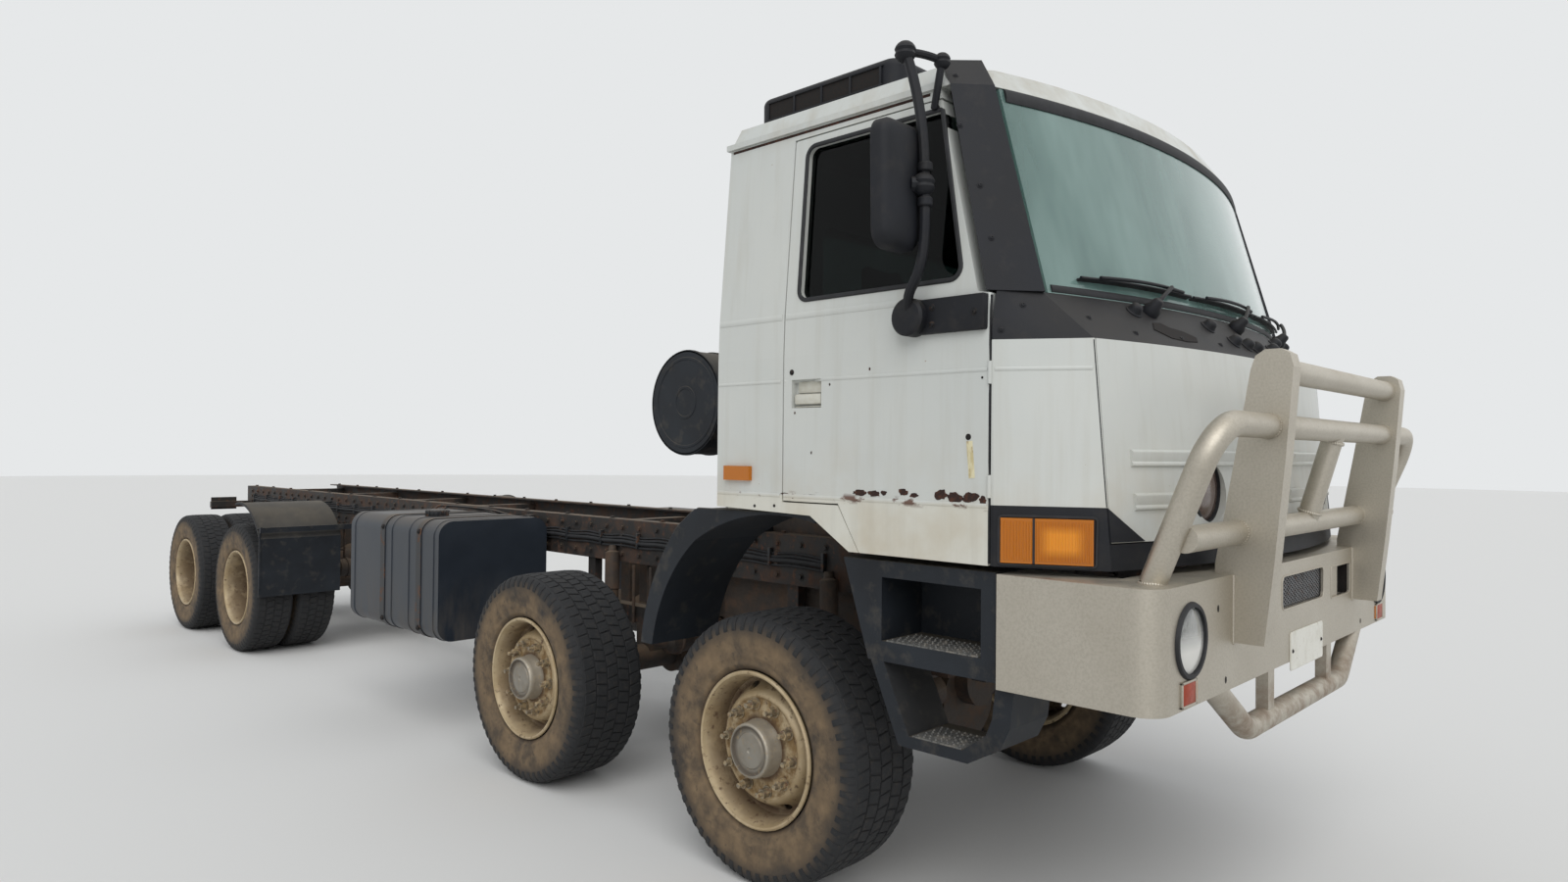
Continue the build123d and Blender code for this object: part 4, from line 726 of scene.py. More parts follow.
tyre_rubber = finish(
    "carbon-black tyre rubber with dried mud", "tyre_rubber", "#1d1e20", 0.8,
    (0.8 * blotches(180, 0.35, 0.7), "#2a2a2b", 0.85),
    (0.92 * from_axle(0.492, 0.420) * blotches(170, 0.24, 0.60), "#6c5b46", 0.95),
    (0.6 * from_axle(0.460, 0.400) * blotches(60, 0.40, 0.70), "#8a7458", 0.95),
    (0.6 * blotches(45, 0.58, 0.70), "#33302c", 0.9),
    (0.9 * from_axle(0.322, 0.304) * blotches(90, 0.15, 0.5), "#3c3026", 0.95),
    bumps=[(blotches(7, 0.3, 0.7), 0.3), (blotches(45, 0.3, 0.7, detail=2.0), 0.5)])
tread_rubber = finish(
    "road-scrubbed tread rubber", "tyre_rubber", "#1d1e20", 0.85,
    (0.8 * blotches(120, 0.35, 0.7), "#29292a", 0.88),
    (0.35 * blotches(22, 0.52, 0.7), "#443d35", 0.95),
    bumps=[(blotches(5, 0.3, 0.7), 0.3), (blotches(6, 0.45, 0.55, (1, 0.15, 1), 1.0), 0.4)])
print("rubber:", tyre_rubber.name)

# %% [markdown]
# ## The tread
# A pitch is one row of blocks across the tyre, each a sheared brick with a narrow
# chamfer. The outer blocks reach over the shoulder, which gives the tyre its toothed
# edge. Sixty pitches round the axle put the blocks about 54 mm apart.

# %% Tread blocks
PITCHES = 60
BLOCK_LONG = 0.047
SLANT = 0.010
CHAMFER = 0.0025
BLOCK_FOOT, CREST = TYRE_R - 0.016, TYRE_R - 0.0009
SIPE = 0.0035
SHOULDER_DROP = 0.004
TREAD_SHARE = 0.83
SHOULDER = [(0.992, 0.160), (0.984, 0.171), (0.968, 0.183), (0.93, 0.196), (0.87, 0.205)]
BAR_LONG, BAR_HALF = 0.022, 0.003


def block(x0, x1, slant, drop=0.0):
    """One chamfered block; drop lowers its outer side over the shoulder."""
    shape = bmesh.new()
    layers = []
    for inset, height in ((0, BLOCK_FOOT), (0, CREST - CHAMFER), (CHAMFER, CREST)):
        corners = []
        for x, y in ((x0, 0), (x1, 0), (x1, 1), (x0, 1)):
            outer = x == (x1 if x0 + x1 > 0 else x0)
            inward = inset if x == x0 else -inset
            along_y = (y - 0.5) * BLOCK_LONG + (inset if y == 0 else -inset)
            along_y += slant * ((x - x0) / (x1 - x0) - 0.5)
            corners.append(shape.verts.new((x + inward, along_y, height - (drop if outer else 0))))
        layers.append(corners)
    shape.faces.new(reversed(layers[0]))
    shape.faces.new(layers[-1])
    return skinned(shape, layers)


def pitch_of(tyres, rows):
    """One pitch for each tyre of a wheel: a row of blocks, and a bar over each shoulder."""
    shape = bmesh.new()
    for near, far in tyres:
        centre, half = (near + far) / 2, (far - near) / 2
        for sign in SIGN.values():
            under, over = [[(centre + sign * half * (a + wider), -BAR_LONG / 2, BEAD_R + rise + lift)
                            for a, rise in SHOULDER] for wider, lift in ((0, -BAR_HALF), (0.008, BAR_HALF))]
            pushed(shape, under + over[::-1], (0, BAR_LONG, 0))
        half *= TREAD_SHARE
        wide = 2 * half / rows
        for row in range(rows):
            x0, x1 = -half + row * wide + SIPE, -half + (row + 1) * wide - SIPE
            made = block(x0, x1, SLANT * (-1) ** row, SHOULDER_DROP if row in (0, rows - 1) else 0)
            half_pitch = Matrix.Rotation(math.pi / PITCHES * (row % 2), 4, "X")
            place = Matrix.Translation((centre, 0, 0)) @ half_pitch
            bmesh.ops.transform(made, verts=made.verts, matrix=place)
            shape.from_mesh(as_mesh("block", made))
    return shape


tread_meshes = {
    kind: grow(COPIES_ROUND, pitch_of(TYRES[kind], rows), tread_rubber, Count=PITCHES, Start=0.0)
    for kind, rows in (("front", 5), ("rear", 4))}
print("faces in a front tread:", len(tread_meshes["front"].polygons))

# %% [markdown]
# ## Rims
# A rim is a rolled steel hoop with a welded, pressed disc. The front disc bulges outward
# to the nut ring, the rear one is set deep inside the outer tyre. Both are turned from
# two outlines. The hand holes near the hoop are cut with a Boolean modifier, which is
# simpler than building the disc's faces round eight ovals.

# %% Turned rims with hand holes
HOOP_INSET = 0.012
HAND_HOLES = 8
HOLE_HALF_TALL, HOLE_HALF_WIDE = 0.014, 0.025
FRONT_DISC = [(1.096, 0.270), (1.090, 0.256), (1.096, 0.243), (1.112, 0.231), (1.136, 0.220),
              (1.152, 0.208), (1.158, 0.197), (1.156, 0.190), (1.151, 0.185), (1.151, 0.126),
              (1.155, 0.112), (1.150, 0.098), (1.138, 0.098), (1.139, 0.185), (1.142, 0.203),
              (1.128, 0.212), (1.102, 0.224), (1.084, 0.240), (1.078, 0.256), (1.082, 0.270)]
REAR_DISC = [(0.947, 0.270), (0.938, 0.256), (0.925, 0.244), (0.914, 0.230), (0.911, 0.220),
             (0.916, 0.212), (0.927, 0.207), (0.929, 0.200), (0.929, 0.130), (0.929, 0.098),
             (0.880, 0.098), (0.880, 0.210), (0.897, 0.222), (0.903, 0.240), (0.922, 0.258),
             (0.932, 0.270)]


def hoop(near, far):
    """The outline of the rolled hoop between its two lips."""
    return [(far - 0.003, 0.300), (far + 0.001, 0.294), (far - 0.002, 0.287), (far - 0.016, 0.282),
            (far - 0.028, 0.275), (far - 0.085, 0.267), (near + 0.10, 0.263), (near + 0.022, 0.271),
            (near + 0.003, 0.285), (near, 0.298), (near + 0.003, 0.302), (near + 0.007, 0.297),
            (near + 0.030, 0.283), (near + 0.10, 0.273), (far - 0.085, 0.277), (far - 0.036, 0.286),
            (far - 0.020, 0.293), (far - 0.009, 0.302)]


def hand_holes(radius, start):
    """Oval cutters in a ring, 200 mm deep."""
    shape = bmesh.new()
    for c, s in circle(2 * HAND_HOLES)[1::2]:
        outline = [(radius + HOLE_HALF_TALL * a, HOLE_HALF_WIDE * b) for a, b in circle(20)]
        pushed(shape, [(start, out * c - round_ * s, out * s + round_ * c) for out, round_ in outline],
               (0.2, 0, 0))
    return shape


def cut(data, cutter_shape):
    """Takes a cutter out of a mesh with a Boolean modifier."""
    solid = linked("solid", data)
    cutter = linked("cutter", meshed(cutter_shape))
    modifier = solid.modifiers.new("cut", "BOOLEAN")
    modifier.operation = "DIFFERENCE"
    modifier.solver = "EXACT"
    modifier.object = cutter
    result = evaluated(solid)
    for thing in (solid, cutter):
        bpy.data.objects.remove(thing)
    return result


rim_meshes = {}
for kind, disc, radius, start in (("front", FRONT_DISC, 0.2365, 1.0), ("rear", REAR_DISC, 0.239, 0.8)):
    hoops = bmesh.new()
    for near, far in TYRES[kind]:
        turned(hoop(near + HOOP_INSET, far - HOOP_INSET), shape=hoops)
    rim_meshes[kind] = with_radius(joined(hoops, cut(meshed(turned(disc)), hand_holes(radius, start))))
print("faces in a front rim:", len(rim_meshes["front"].polygons))

# %% [markdown]
# ## Hub ends and nuts
# Each wheel is held by ten flanged M22 nuts on a 335 mm circle. A front hub ends in a
# turned grey cap, a rear hub in a longer drive housing with a ring of small bolts. Both
# carry a painted highlight on their outer edge and a ring of painted shade in the groove of
# their face. A nut is a hexagon on a flange with the stud showing through.

# %% Hub ends and wheel nuts
NUT_CIRCLE = 0.1675
HUBS = {
    "front": [(1.140, 0), (1.140, 0.112), (1.162, 0.112), (1.168, 0.108), (1.203, 0.106), (1.220, 0.1045),
              (1.2255, 0.101), (1.2275, 0.097), (1.2265, 0.093), (1.2165, 0.090), (1.2150, 0.072),
              (1.2200, 0.066), (1.2215, 0.012), (1.218, 0.008), (1.2175, 0)],
    "rear": [(0.90, 0), (0.90, 0.127), (0.935, 0.127), (0.944, 0.121), (0.985, 0.118), (1.000, 0.114),
             (1.003, 0.108), (1.003, 0.080), (1.008, 0.074), (1.014, 0.068), (1.015, 0)]}


def nut(x, radius, size):
    """A flanged nut and its stud, standing along X at a distance from the axle."""
    shape = bmesh.new()
    for sides, across, start, end in ((24, 1.40, 0, 0.18), (6, 1.1, 0.18, 1.05), (12, 0.58, 1.05, 1.75)):
        half = across * size / 2
        ring = [(x + start * size, half * c, radius + half * s) for c, s in circle(sides)]
        pushed(shape, ring, ((end - start) * size, 0, 0))
    return shape


steel_nut = finish(
    "zinc-worn wheel nut steel", "rim_paint", "#8d8474", 0.5,
    (0.8 * blotches(24, 0.42, 0.62), "#b39c74", 0.8),
    (0.8 * blotches(16, 0.55, 0.68), "#6a4630", 0.9),
    bumps=[(blotches(5, 0.3, 0.7), 0.3)], metal=0.85)
hub_grey = finish(
    "turned grey-painted hub cap", "rim_paint", "#8f8a80", 0.42,
    (0.7 * blotches(60, 0.40, 0.7), "#80776a", 0.6),
    # painted highlight on the hub's outer edge
    (0.6 * from_axle(0.0975, 0.1005), "#b3aa9a", 0.5),
    # painted shade in the groove of the hub's face
    (0.9 * from_axle(0.070, 0.084) * from_axle(0.0965, 0.092), "#564d42", 0.85),
    (0.6 * blotches(18, 0.55, 0.7), "#9a8563", 0.85),
    bumps=[(blotches(2, 0.35, 0.65, detail=1.0), 0.06)], metal=0.55)
nut_meshes = {
    kind: grow(COPIES_ROUND, nut(x, NUT_CIRCLE, 0.035), steel_nut, Count=10, Start=0.2)
    for kind, x in (("front", 1.150), ("rear", 0.928))}
small_bolts = grow(COPIES_ROUND, nut(1.002, 0.096, 0.014), steel_nut, Count=12, Start=0.1)
hub_meshes = {kind: with_radius(meshed(turned(outline, closed=False))) for kind, outline in HUBS.items()}
print("faces in ten nuts:", len(nut_meshes["front"].polygons))

# %% [markdown]
# ## Rim paint
# The rims were sprayed cream-silver. The well between the disc and the hoop is darkened
# all round as painted shade, the nut ring is brown between the nuts, and the lip stays
# lighter, outside the dark rings. The rings follow the distance from the axle that is
# stored on the mesh, as on the tyres.

# %% Rim finish
rim_enamel = finish(
    "cream-silver rim enamel", "rim_paint", "#b9a787", 0.42,
    (0.7 * blotches(130, 0.36, 0.64), "#9b8561", 0.6),
    (from_axle(0.205, 0.190) * blotches(46, 0.36, 0.58), "#7d6440", 0.85),
    # painted shade in the well between the disc and the hoop
    (0.9 * from_axle(0.222, 0.245) * from_axle(0.285, 0.262) * blotches(90, 0.2, 0.5), "#54402e", 0.9),
    (0.9 * from_axle(0.135, 0.118) * blotches(60, 0.2, 0.5), "#4c3827", 0.9),
    (0.8 * blotches(26, 0.58, 0.69), "#4c3426", 0.9),
    bumps=[(blotches(8, 0.3, 0.7), 0.25), (blotches(50, 0.3, 0.7, detail=1.0), 0.8)], metal=0.25)
print("rim finish:", rim_enamel.name)

# %% [markdown]
# ## Setting the wheels in place
# A wheel is made once in its own frame, with X pointing away from the truck. The left
# ones are only moved to their axle. The right ones are turned half round as well, never
# mirrored, so their faces still point outwards.

# %% Place the wheels
ROLLED = 0.7
for side in SIGN:
    for axle, y in enumerate(AXLES):
        kind = "front" if axle < 2 else "rear"
        tag = f"{side}_{axle + 1}"
        place = Matrix.Translation((0, y, HUB_HEIGHT))
        if side == "right":
            place = place @ Matrix.Rotation(math.pi, 4, "Z")
        place = place @ Matrix.Rotation(ROLLED * axle, 4, "X")
        parts = [("tyre_walls_", tyre_meshes[kind], tyre_rubber, ["tyre_" + tag], 50),
                 ("tyre_tread_", tread_meshes[kind], tread_rubber, [], 35),
                 ("wheel_rim_", rim_meshes[kind], rim_enamel, ["rim_" + tag], 35),
                 ("wheel_nuts_", nut_meshes[kind], steel_nut, [], 35),
                 ("hub_end_", hub_meshes[kind], hub_grey, [], 35)]
        if kind == "rear":
            parts.append(("hub_bolts_", small_bolts, steel_nut, [], 35))
        for name, data, material, replaced, crisp in parts:
            copy = data.copy()
            copy.transform(place)
            piece(name + tag, copy, material, "wheel_" + tag, replaced, crisp)
print("wheels in place:", 2 * len(AXLES))

# %% [markdown]
# ## Laying trim on the cab's skin
# Folds, seals and joint lines follow the sheet metal, which leans and curves. Rays find
# the skin: each point of a line is shot at the CAD solids from the side or the front, and
# comes back with the place it hit and the way the metal faces there. A moulding is then
# a small cross-section carried along those points.

# %% Find the skin and carry a section along it
OUTSIDE, AHEAD = 1.9, 2.4


def skin_of(*names):
    """A search tree over the faces of some CAD nodes."""
    corners, faces = [], []
    for name in names:
        data = nodes[name].data
        first = len(corners)
        corners += [v.co.copy() for v in data.vertices]
        faces += [[first + k for k in p.vertices] for p in data.polygons]
    return BVHTree.FromPolygons(corners, faces)


CAB_SKIN = skin_of("cab_sides", "cab_back", "front_panels", "door_right", "door_left", "scuttle",
                   "pillar_trims", "lamp_surrounds", "cab_roof", "mirror_right", "mirror_left")


def laid(tree, starts, way):
    """The (place, facing) pairs where rays meet a skin. A ray that misses gives none."""
    way = Vector(way)
    found = [tree.ray_cast(start, way)[:2] for start in starts]
    return [(place, -normal if normal.dot(way) > 0 else normal)
            for place, normal in found if place is not None]


def side_line(side, line, tree=CAB_SKIN):
    """A line of (forward, up) points, laid on one side of the truck."""
    return laid(tree, [at(f, SIGN[side] * OUTSIDE, z) for f, z in line], (-SIGN[side], 0, 0))


def front_line(line, tree=CAB_SKIN):
    """A line of (across, up) points, laid on the front of the truck."""
    return laid(tree, [at(AHEAD, x, z) for x, z in line], -FORWARD)


def moulding(shape, run, section, closed=False):
    """Carries a section of (across, out) points along a run of (place, facing) pairs."""
    rings = []
    last = len(run) - 1
    for k, (place, out) in enumerate(run):
        before = run[k - 1][0] if k or closed else place
        after = run[(k + 1) % len(run)][0] if k < last or closed else place
        ahead = (after - before).normalized()
        across = ahead.cross(out).normalized()
        up = across.cross(ahead).normalized()
        rings.append([shape.verts.new(place + across * a + up * h) for a, h in section])
    skinned(shape, rings, closed)
    if not closed:
        shape.faces.new(rings[0])
        shape.faces.new(reversed(rings[-1]))
    return shape


def bead(wide, tall, sink=0.0015):
    """A low rounded section for seals and folds."""
    return [(-wide / 2, -sink), (-wide / 2, tall * 0.4), (-wide / 4, tall), (wide / 4, tall),
            (wide / 2, tall * 0.4), (wide / 2, -sink)]


def steps_between(start, end, step):
    """Evenly spaced numbers from start to end, both included."""
    count = max(2, round(abs(end - start) / step) + 1)
    return [start + (end - start) * k / (count - 1) for k in range(count)]


def rounded(corners, radius, arc=6):
    """A closed outline whose corners are rounded, as (a, b) pairs."""
    result = []
    for k, corner in enumerate(corners):
        here = Vector(corner)
        before = (Vector(corners[k - 1]) - here).normalized()
        after = (Vector(corners[(k + 1) % len(corners)]) - here).normalized()
        half = before.angle(after) / 2
        reach = radius / math.tan(half)
        start, end = here + before * reach, here + after * reach
        centre = here + (before + after).normalized() * radius / math.sin(half)
        for n in range(arc + 1):
            spoke = (start - centre).slerp(end - centre, n / arc).normalized()
            result.append(tuple(centre + spoke * radius))
    return result


def box_line(low, high, radius, arc=6):
    """A rounded rectangle between two (a, b) corners."""
    (a0, b0), (a1, b1) = low, high
    return rounded([(a0, b0), (a1, b0), (a1, b1), (a0, b1)], radius, arc)


def patch(shape, corners, below, thick):
    """A flat patch on the front's skin, from (across, up) corners."""
    edge = front_line(corners)
    way = sum((out for _, out in edge), Vector()).normalized()
    return pushed(shape, [place - way * below for place, _ in edge], way * thick)


print("ready to lay trim on", len(nodes), "solids")

# %% [markdown]
# ## Folds in the side panels
# Three lines run along the cab's side: the belt fold under the window, a swage at hip
# height, and the fold above the rocker panel. On the real cab they are pressed into the
# steel, which stiffens it. Here each is a shallow bead of the same enamel, laid by rays,
# and cut where the door ends, because the door swings and takes its own part along.

# %% Swages on the sides
CAB_REAR, DOOR_REAR, DOOR_FRONT = -0.160, 0.190, 1.076
FOLDS = ((2.163, 0.022, 0.0035, 0.800, None), (1.925, 0.012, 0.0028, 1.064, 1.335),
         (1.505, 0.014, 0.0030, 1.064, None))
for side in SIGN:
    fixed, swinging = bmesh.new(), bmesh.new()
    for height, wide, tall, door_end, front_end in FOLDS:
        spans = [(fixed, CAB_REAR, DOOR_REAR - 0.010), (swinging, DOOR_REAR + 0.010, door_end)]
        if front_end:
            spans.append((fixed, DOOR_FRONT + 0.012, front_end))
        for shape, start, end in spans:
            line = [(f, height) for f in steps_between(start, end, 0.06)]
            moulding(shape, side_line(side, line), bead(wide, tall))
    piece("side_swages_" + side, fixed, cab_enamel)
    piece("door_swages_" + side, swinging, cab_enamel, "door_" + side)
print("folds on each side at heights", [row[0] for row in FOLDS])

# %% [markdown]
# ## Ribs and joints of the front panel
# Two long ribs stiffen the front panel. Each is a pressed shelf: dark under its upper
# edge, bright on its lip. A dark sealed joint runs down between the front panel and the
# corner panel. The lamp surround has a chamfered corner below it.

# %% Ribs, joint lines and the chamfered corner
rubber = finish(
    "black EPDM rubber seal", "dark_plastic", "#1b1c1e", 0.7,
    (0.5 * blotches(60, 0.45, 0.7), "#37363a", 0.8),
    bumps=[(blotches(4, 0.3, 0.7), 0.1)])
RIB_HEIGHTS, RIB_REACH = (1.656, 1.524), 0.985
LEDGE = [(-0.027, -0.001), (-0.025, 0.006), (-0.019, 0.013), (-0.013, 0.013), (0.010, 0.0045),
         (0.018, 0.010), (0.023, 0.009), (0.027, -0.001)]
JOINT_X = 1.099
WEDGE = ((1.097, 1.506), (1.03, 1.458), (0.955, 1.406), (1.097, 1.406))

ribs, joints, wedges = bmesh.new(), bmesh.new(), bmesh.new()
for height in RIB_HEIGHTS:
    for start, end in ((-RIB_REACH, -0.02), (0.02, RIB_REACH)):
        moulding(ribs, front_line([(x, height) for x in steps_between(start, end, 0.05)]), LEDGE)
for sign in SIGN.values():
    seam = front_line([(sign * JOINT_X, z) for z in steps_between(1.510, 2.010, 0.05)])
    moulding(joints, seam, bead(0.0038, 0.0010, 0.001))
    patch(wedges, [(sign * x, z) for x, z in WEDGE], 0.006, 0.0105)
piece("front_panel_ribs", ribs, cab_enamel)
piece("panel_joint_seals", joints, rubber)
piece("lamp_surround_wedges", wedges, cab_plastic)
print("ribs at heights", RIB_HEIGHTS)

# %% [markdown]
# ## Rubber round the glass
# The side window sits in a black rubber channel, and the windscreen in a broad black
# gasket that shows as a band above the glass. Both are beads that close on themselves or
# run as far as the rays meet the glass.

# %% Window and windscreen rubber
GLASS_SKIN = skin_of("cab_glass")
DOOR_SKINS = {side: skin_of("door_" + side) for side in SIGN}
for side, door_skin in DOOR_SKINS.items():
    outline = rounded([(0.257, 2.217), (0.964, 2.217), (0.870, 2.791), (0.257, 2.791)], 0.040)
    run = side_line(side, outline, door_skin)
    channel = moulding(bmesh.new(), run, bead(0.016, 0.006), closed=True)
    print(side, "window channel:", len(run), "of", len(outline), "points on the door")
    piece("window_rubber_" + side, channel, rubber, "door_" + side)

gasket = bmesh.new()
for height, wide, tall in ((2.843, 0.048, 0.010), (2.186, 0.024, 0.006)):
    run = front_line([(x, height) for x in steps_between(-1.10, 1.10, 0.02)], GLASS_SKIN)
    moulding(gasket, run, bead(wide, tall, 0.004))
    print("gasket at", height, "reaches x =", round(run[-1][0].x, 2))
piece("windscreen_gasket", gasket, rubber)
run = laid(GLASS_SKIN, [at(-1.2, x, z) for x, z in box_line((-0.69, 2.24), (0.69, 2.63), 0.06)], FORWARD)
piece("rear_window_rubber", moulding(bmesh.new(), run, bead(0.034, 0.012, 0.004), closed=True), rubber)

# %% [markdown]
# ## Bolts on the trim
# Round-headed screws with a large flange hold the pillar covers, the scuttle band and
# the mirror feet. The second Geometry Nodes tree puts one shape on every marked point,
# turned the way the plastic faces. One mesh is made for each body.

# %% Screws in the trim
black_screw = finish(
    "phosphated black screw steel", "strap_steel", "#17181a", 0.5,
    (0.7 * blotches(9, 0.5, 0.65), "#4c3a2e", 0.85), metal=0.5)
PILLAR_SCREWS = [(0.875, 2.907), (0.925, 2.72), (0.997, 2.515), (1.045, 2.34), (1.141, 2.124), (1.10, 2.045)]
SCUTTLE_SCREWS = ((1.017, 2.089), (0.86, 2.05), (0.62, 2.05), (0.36, 2.05))
FOOT_SCREWS = [(1.028, 2.103), (0.87, 2.13), (0.87, 2.075)]


def screw(size=0.011):
    """A flanged button-head screw standing along Z."""
    return upright([(-0.3, 0), (-0.3, 1.25), (0.12, 1.25), (0.2, 1.15), (0.2, 0.85), (0.5, 0.75),
                    (0.68, 0.45), (0.68, 0.25), (0.4, 0.2), (0.4, 0)], 16, size)


def spread(name, shape, rows, material=black_screw, body="chassis", size=1.0):
    """A piece made of one shape on each (place, direction) pair."""
    piece(name, copies_on(shape, material, rows, size), material, body)
    print(name + ":", len(rows))


screws = []
for side, sign in SIGN.items():
    screws += side_line(side, PILLAR_SCREWS) + front_line([(sign * x, z) for x, z in SCUTTLE_SCREWS])
spread("trim_screws", screw(), screws, cab_plastic, size=0.8)
for side in SIGN:
    spread("mirror_screws_" + side, screw(0.009), side_line(side, FOOT_SCREWS), body="door_" + side)

# %% [markdown]
# ## Door furniture
# Each door has a recessed pull of cream plastic, a lock barrel above it, and a small
# drilled hole lower down that has wept rust and old sealant. The pull is a bar across
# the lower half of the recess, so the upper half stays in shadow.

# %% Handles, locks and holes
cream_plastic = finish(
    "weathered moulded handle plastic", "cab_paint", "#cbc9bd", 0.45,
    (0.6 * blotches(30, 0.4, 0.7), "#b4ad9a", 0.6),
    (0.6 * facing(2, 0.3, 0.9) * blotches(20, 0.3, 0.6), "#8d8069", 0.85),
    bumps=[(blotches(3, 0.3, 0.7), 0.1)])
# Flat black for holes, slots and openings: painted shade where their insides would be dark.
painted_shade_black = finish(
    "painted shade inside holes and openings", "dark_plastic", "#0c0b0a", 0.9,
    (blotches(8, 0.4, 0.6), "#1d1511", 0.95))
weep = finish(
    "dried sealant weeping from a hole", "cab_paint", "#d9d0ac", 0.7,
    (blotches(24, 0.48, 0.6, (1, 1, 0.3)), "#c2b489", 0.8),
    (0.8 * blotches(14, 0.58, 0.66, (1, 1, 0.4)), "#8e6c44", 0.9),
    bumps=[(blotches(6, 0.3, 0.7), 0.6)])
DOOR_HOLES = ((0.996, 1.717, 0.010), (1.045, 1.90, 0.004))
PANEL_HOLES = ((0.047, 1.460, 0.006), (0.151, 1.465, 0.006))
DOOR_FACE = 1.248
SPOT_THICK = 0.0018


def spot(shape, side, forward, up, half_long, half_tall, reaches, below):
    """A flat spot on a side; reaches are shares of an oval, all round it."""
    place, out = side_line(side, [(forward, up)])[0]
    ring = [place + Vector((0, c * half_long * reach, s * half_tall * reach)) - out * below
            for reach, (c, s) in zip(reaches, circle(len(reaches)))]
    pushed(shape, ring, out * SPOT_THICK)


for side, sign in SIGN.items():
    put = on_side_of(sign)
    door = "door_" + side
    piece("door_pull_" + side, slabs(
        (put(0.372, DOOR_FACE - 0.022, 1.838), put(0.243, DOOR_FACE - 0.004, 1.876), 0.006),
        (put(0.372, DOOR_FACE - 0.024, 1.828), put(0.243, DOOR_FACE - 0.012, 1.832), 0.001),
        (put(0.366, DOOR_FACE - 0.028, 1.880), put(0.249, DOOR_FACE - 0.020, 1.922), 0.002)),
          cream_plastic, door)
    spread("door_lock_" + side, screw(0.0085), side_line(side, [(0.235, 1.956)]), body=door)
    # The drilled holes are flat black spots of painted shade.
    for name, body, rows in (("door", door, DOOR_HOLES), ("chassis", "chassis", PANEL_HOLES)):
        spots = bmesh.new()
        for forward, up, radius in rows:
            spot(spots, side, forward, up, radius, radius, [1] * 16, 0.001)
        piece(f"drilled_holes_{name}_{side}", spots, painted_shade_black, body)
    run = side_line(side, [(1.000 + 0.010 * k / 6, 1.704 - 0.115 * k / 6) for k in range(7)])
    piece("hole_weep_" + side, moulding(bmesh.new(), run, bead(0.022, 0.0014, 0.001)), weep, door)
print("door furniture on both sides")

# %% [markdown]
# ## Rust along the sill
# Under the doors the enamel has lifted off in ragged scabs, with bare rusty steel in
# them. A scab is a thin flake with a wobbling outline. A fixed seed draws the wobble, so
# that it comes out the same on every run.

# %% Rust scabs
raw_rust = finish(
    "flaking rust on bare steel", "cab_paint", "#2c1913", 0.9,
    (blotches(14, 0.50, 0.66), "#55301f", 0.95),
    (blotches(7, 0.58, 0.68), "#1a110e", 0.9),
    bumps=[(blotches(5, 0.3, 0.7), 0.8)])
wobble = random.Random(7)
SCABS = ((0.205, 1.512, 0.05, 0.008), (0.34, 1.510, 0.11, 0.007), (0.46, 1.509, 0.05, 0.006),
         (0.560, 1.528, 0.075, 0.024), (0.625, 1.527, 0.065, 0.026), (0.665, 1.530, 0.03, 0.020),
         (0.745, 1.536, 0.045, 0.028), (0.790, 1.528, 0.040, 0.022), (0.895, 1.534, 0.06, 0.042),
         (0.945, 1.526, 0.07, 0.040), (1.005, 1.528, 0.075, 0.036), (1.050, 1.522, 0.03, 0.030),
         *((f, z, 0.008, 0.012) for f, z in ((0.335, 1.663), (0.252, 1.808), (0.245, 1.50), (0.60, 1.95),
                                             (0.42, 1.905))))
for side in SIGN:
    scabs = bmesh.new()
    for forward, up, long, tall in SCABS:
        reaches = [wobble.uniform(0.62, 1.0) for _ in range(18)]
        spot(scabs, side, forward, up, long / 2, tall / 2, reaches, 0.0008)
    piece("sill_rust_" + side, scabs, raw_rust, "door_" + side)
print("scabs on each side:", len(SCABS))

# %% [markdown]
# ## Wipers and the scuttle's knobs
# Three wipers lie parked along the foot of the glass. Each has a capped spindle, a flat
# arm and a jointed blade with a rubber lip. The scuttle also carries a row of rubber
# knobs, and a torn patch where the cover has broken away. Tubes come from curves, which
# turn a few points into a smooth rod.

# %% Rods from curves, and the wipers
def rods(lines, radius, smooth=True):
    """A mesh of round rods along lines of points; smooth lines are NURBS curves."""
    data = bpy.data.curves.new("rods", "CURVE")
    data.dimensions = "3D"
    data.bevel_depth = radius
    data.bevel_resolution = 3
    data.use_fill_caps = True
    for line in lines:
        spline = data.splines.new("NURBS" if smooth else "POLY")
        spline.points.add(len(line) - 1)
        for point, place in zip(spline.points, line):
            point.co = (*place, 1.0)
        if smooth:
            spline.order_u = 3
            spline.use_endpoint_u = True
            spline.resolution_u = 6
    thing = linked("rods", data)
    merged = bmesh.new()
    merged.from_mesh(evaluated(thing))
    bpy.data.objects.remove(thing)
    bmesh.ops.remove_doubles(merged, verts=merged.verts, dist=1e-6)
    return as_mesh("rods", merged)


def aimed(place, way):
    """The matrix that takes the origin to a place and the X axis along a way."""
    return Matrix.Translation(place) @ Vector(way).to_track_quat("X", "Z").to_matrix().to_4x4()


def placed(shape, place, way=(1, 0, 0)):
    """A shape made about the X axis, moved to a place and turned along a way."""
    bmesh.ops.transform(shape, matrix=aimed(place, way), verts=shape.verts)
    return shape


def turned_on(outline, place, way, steps=28, closed=False):
    """A turned shape whose axis stands at a place and looks along a way."""
    return placed(turned(outline, steps, closed), place, way)


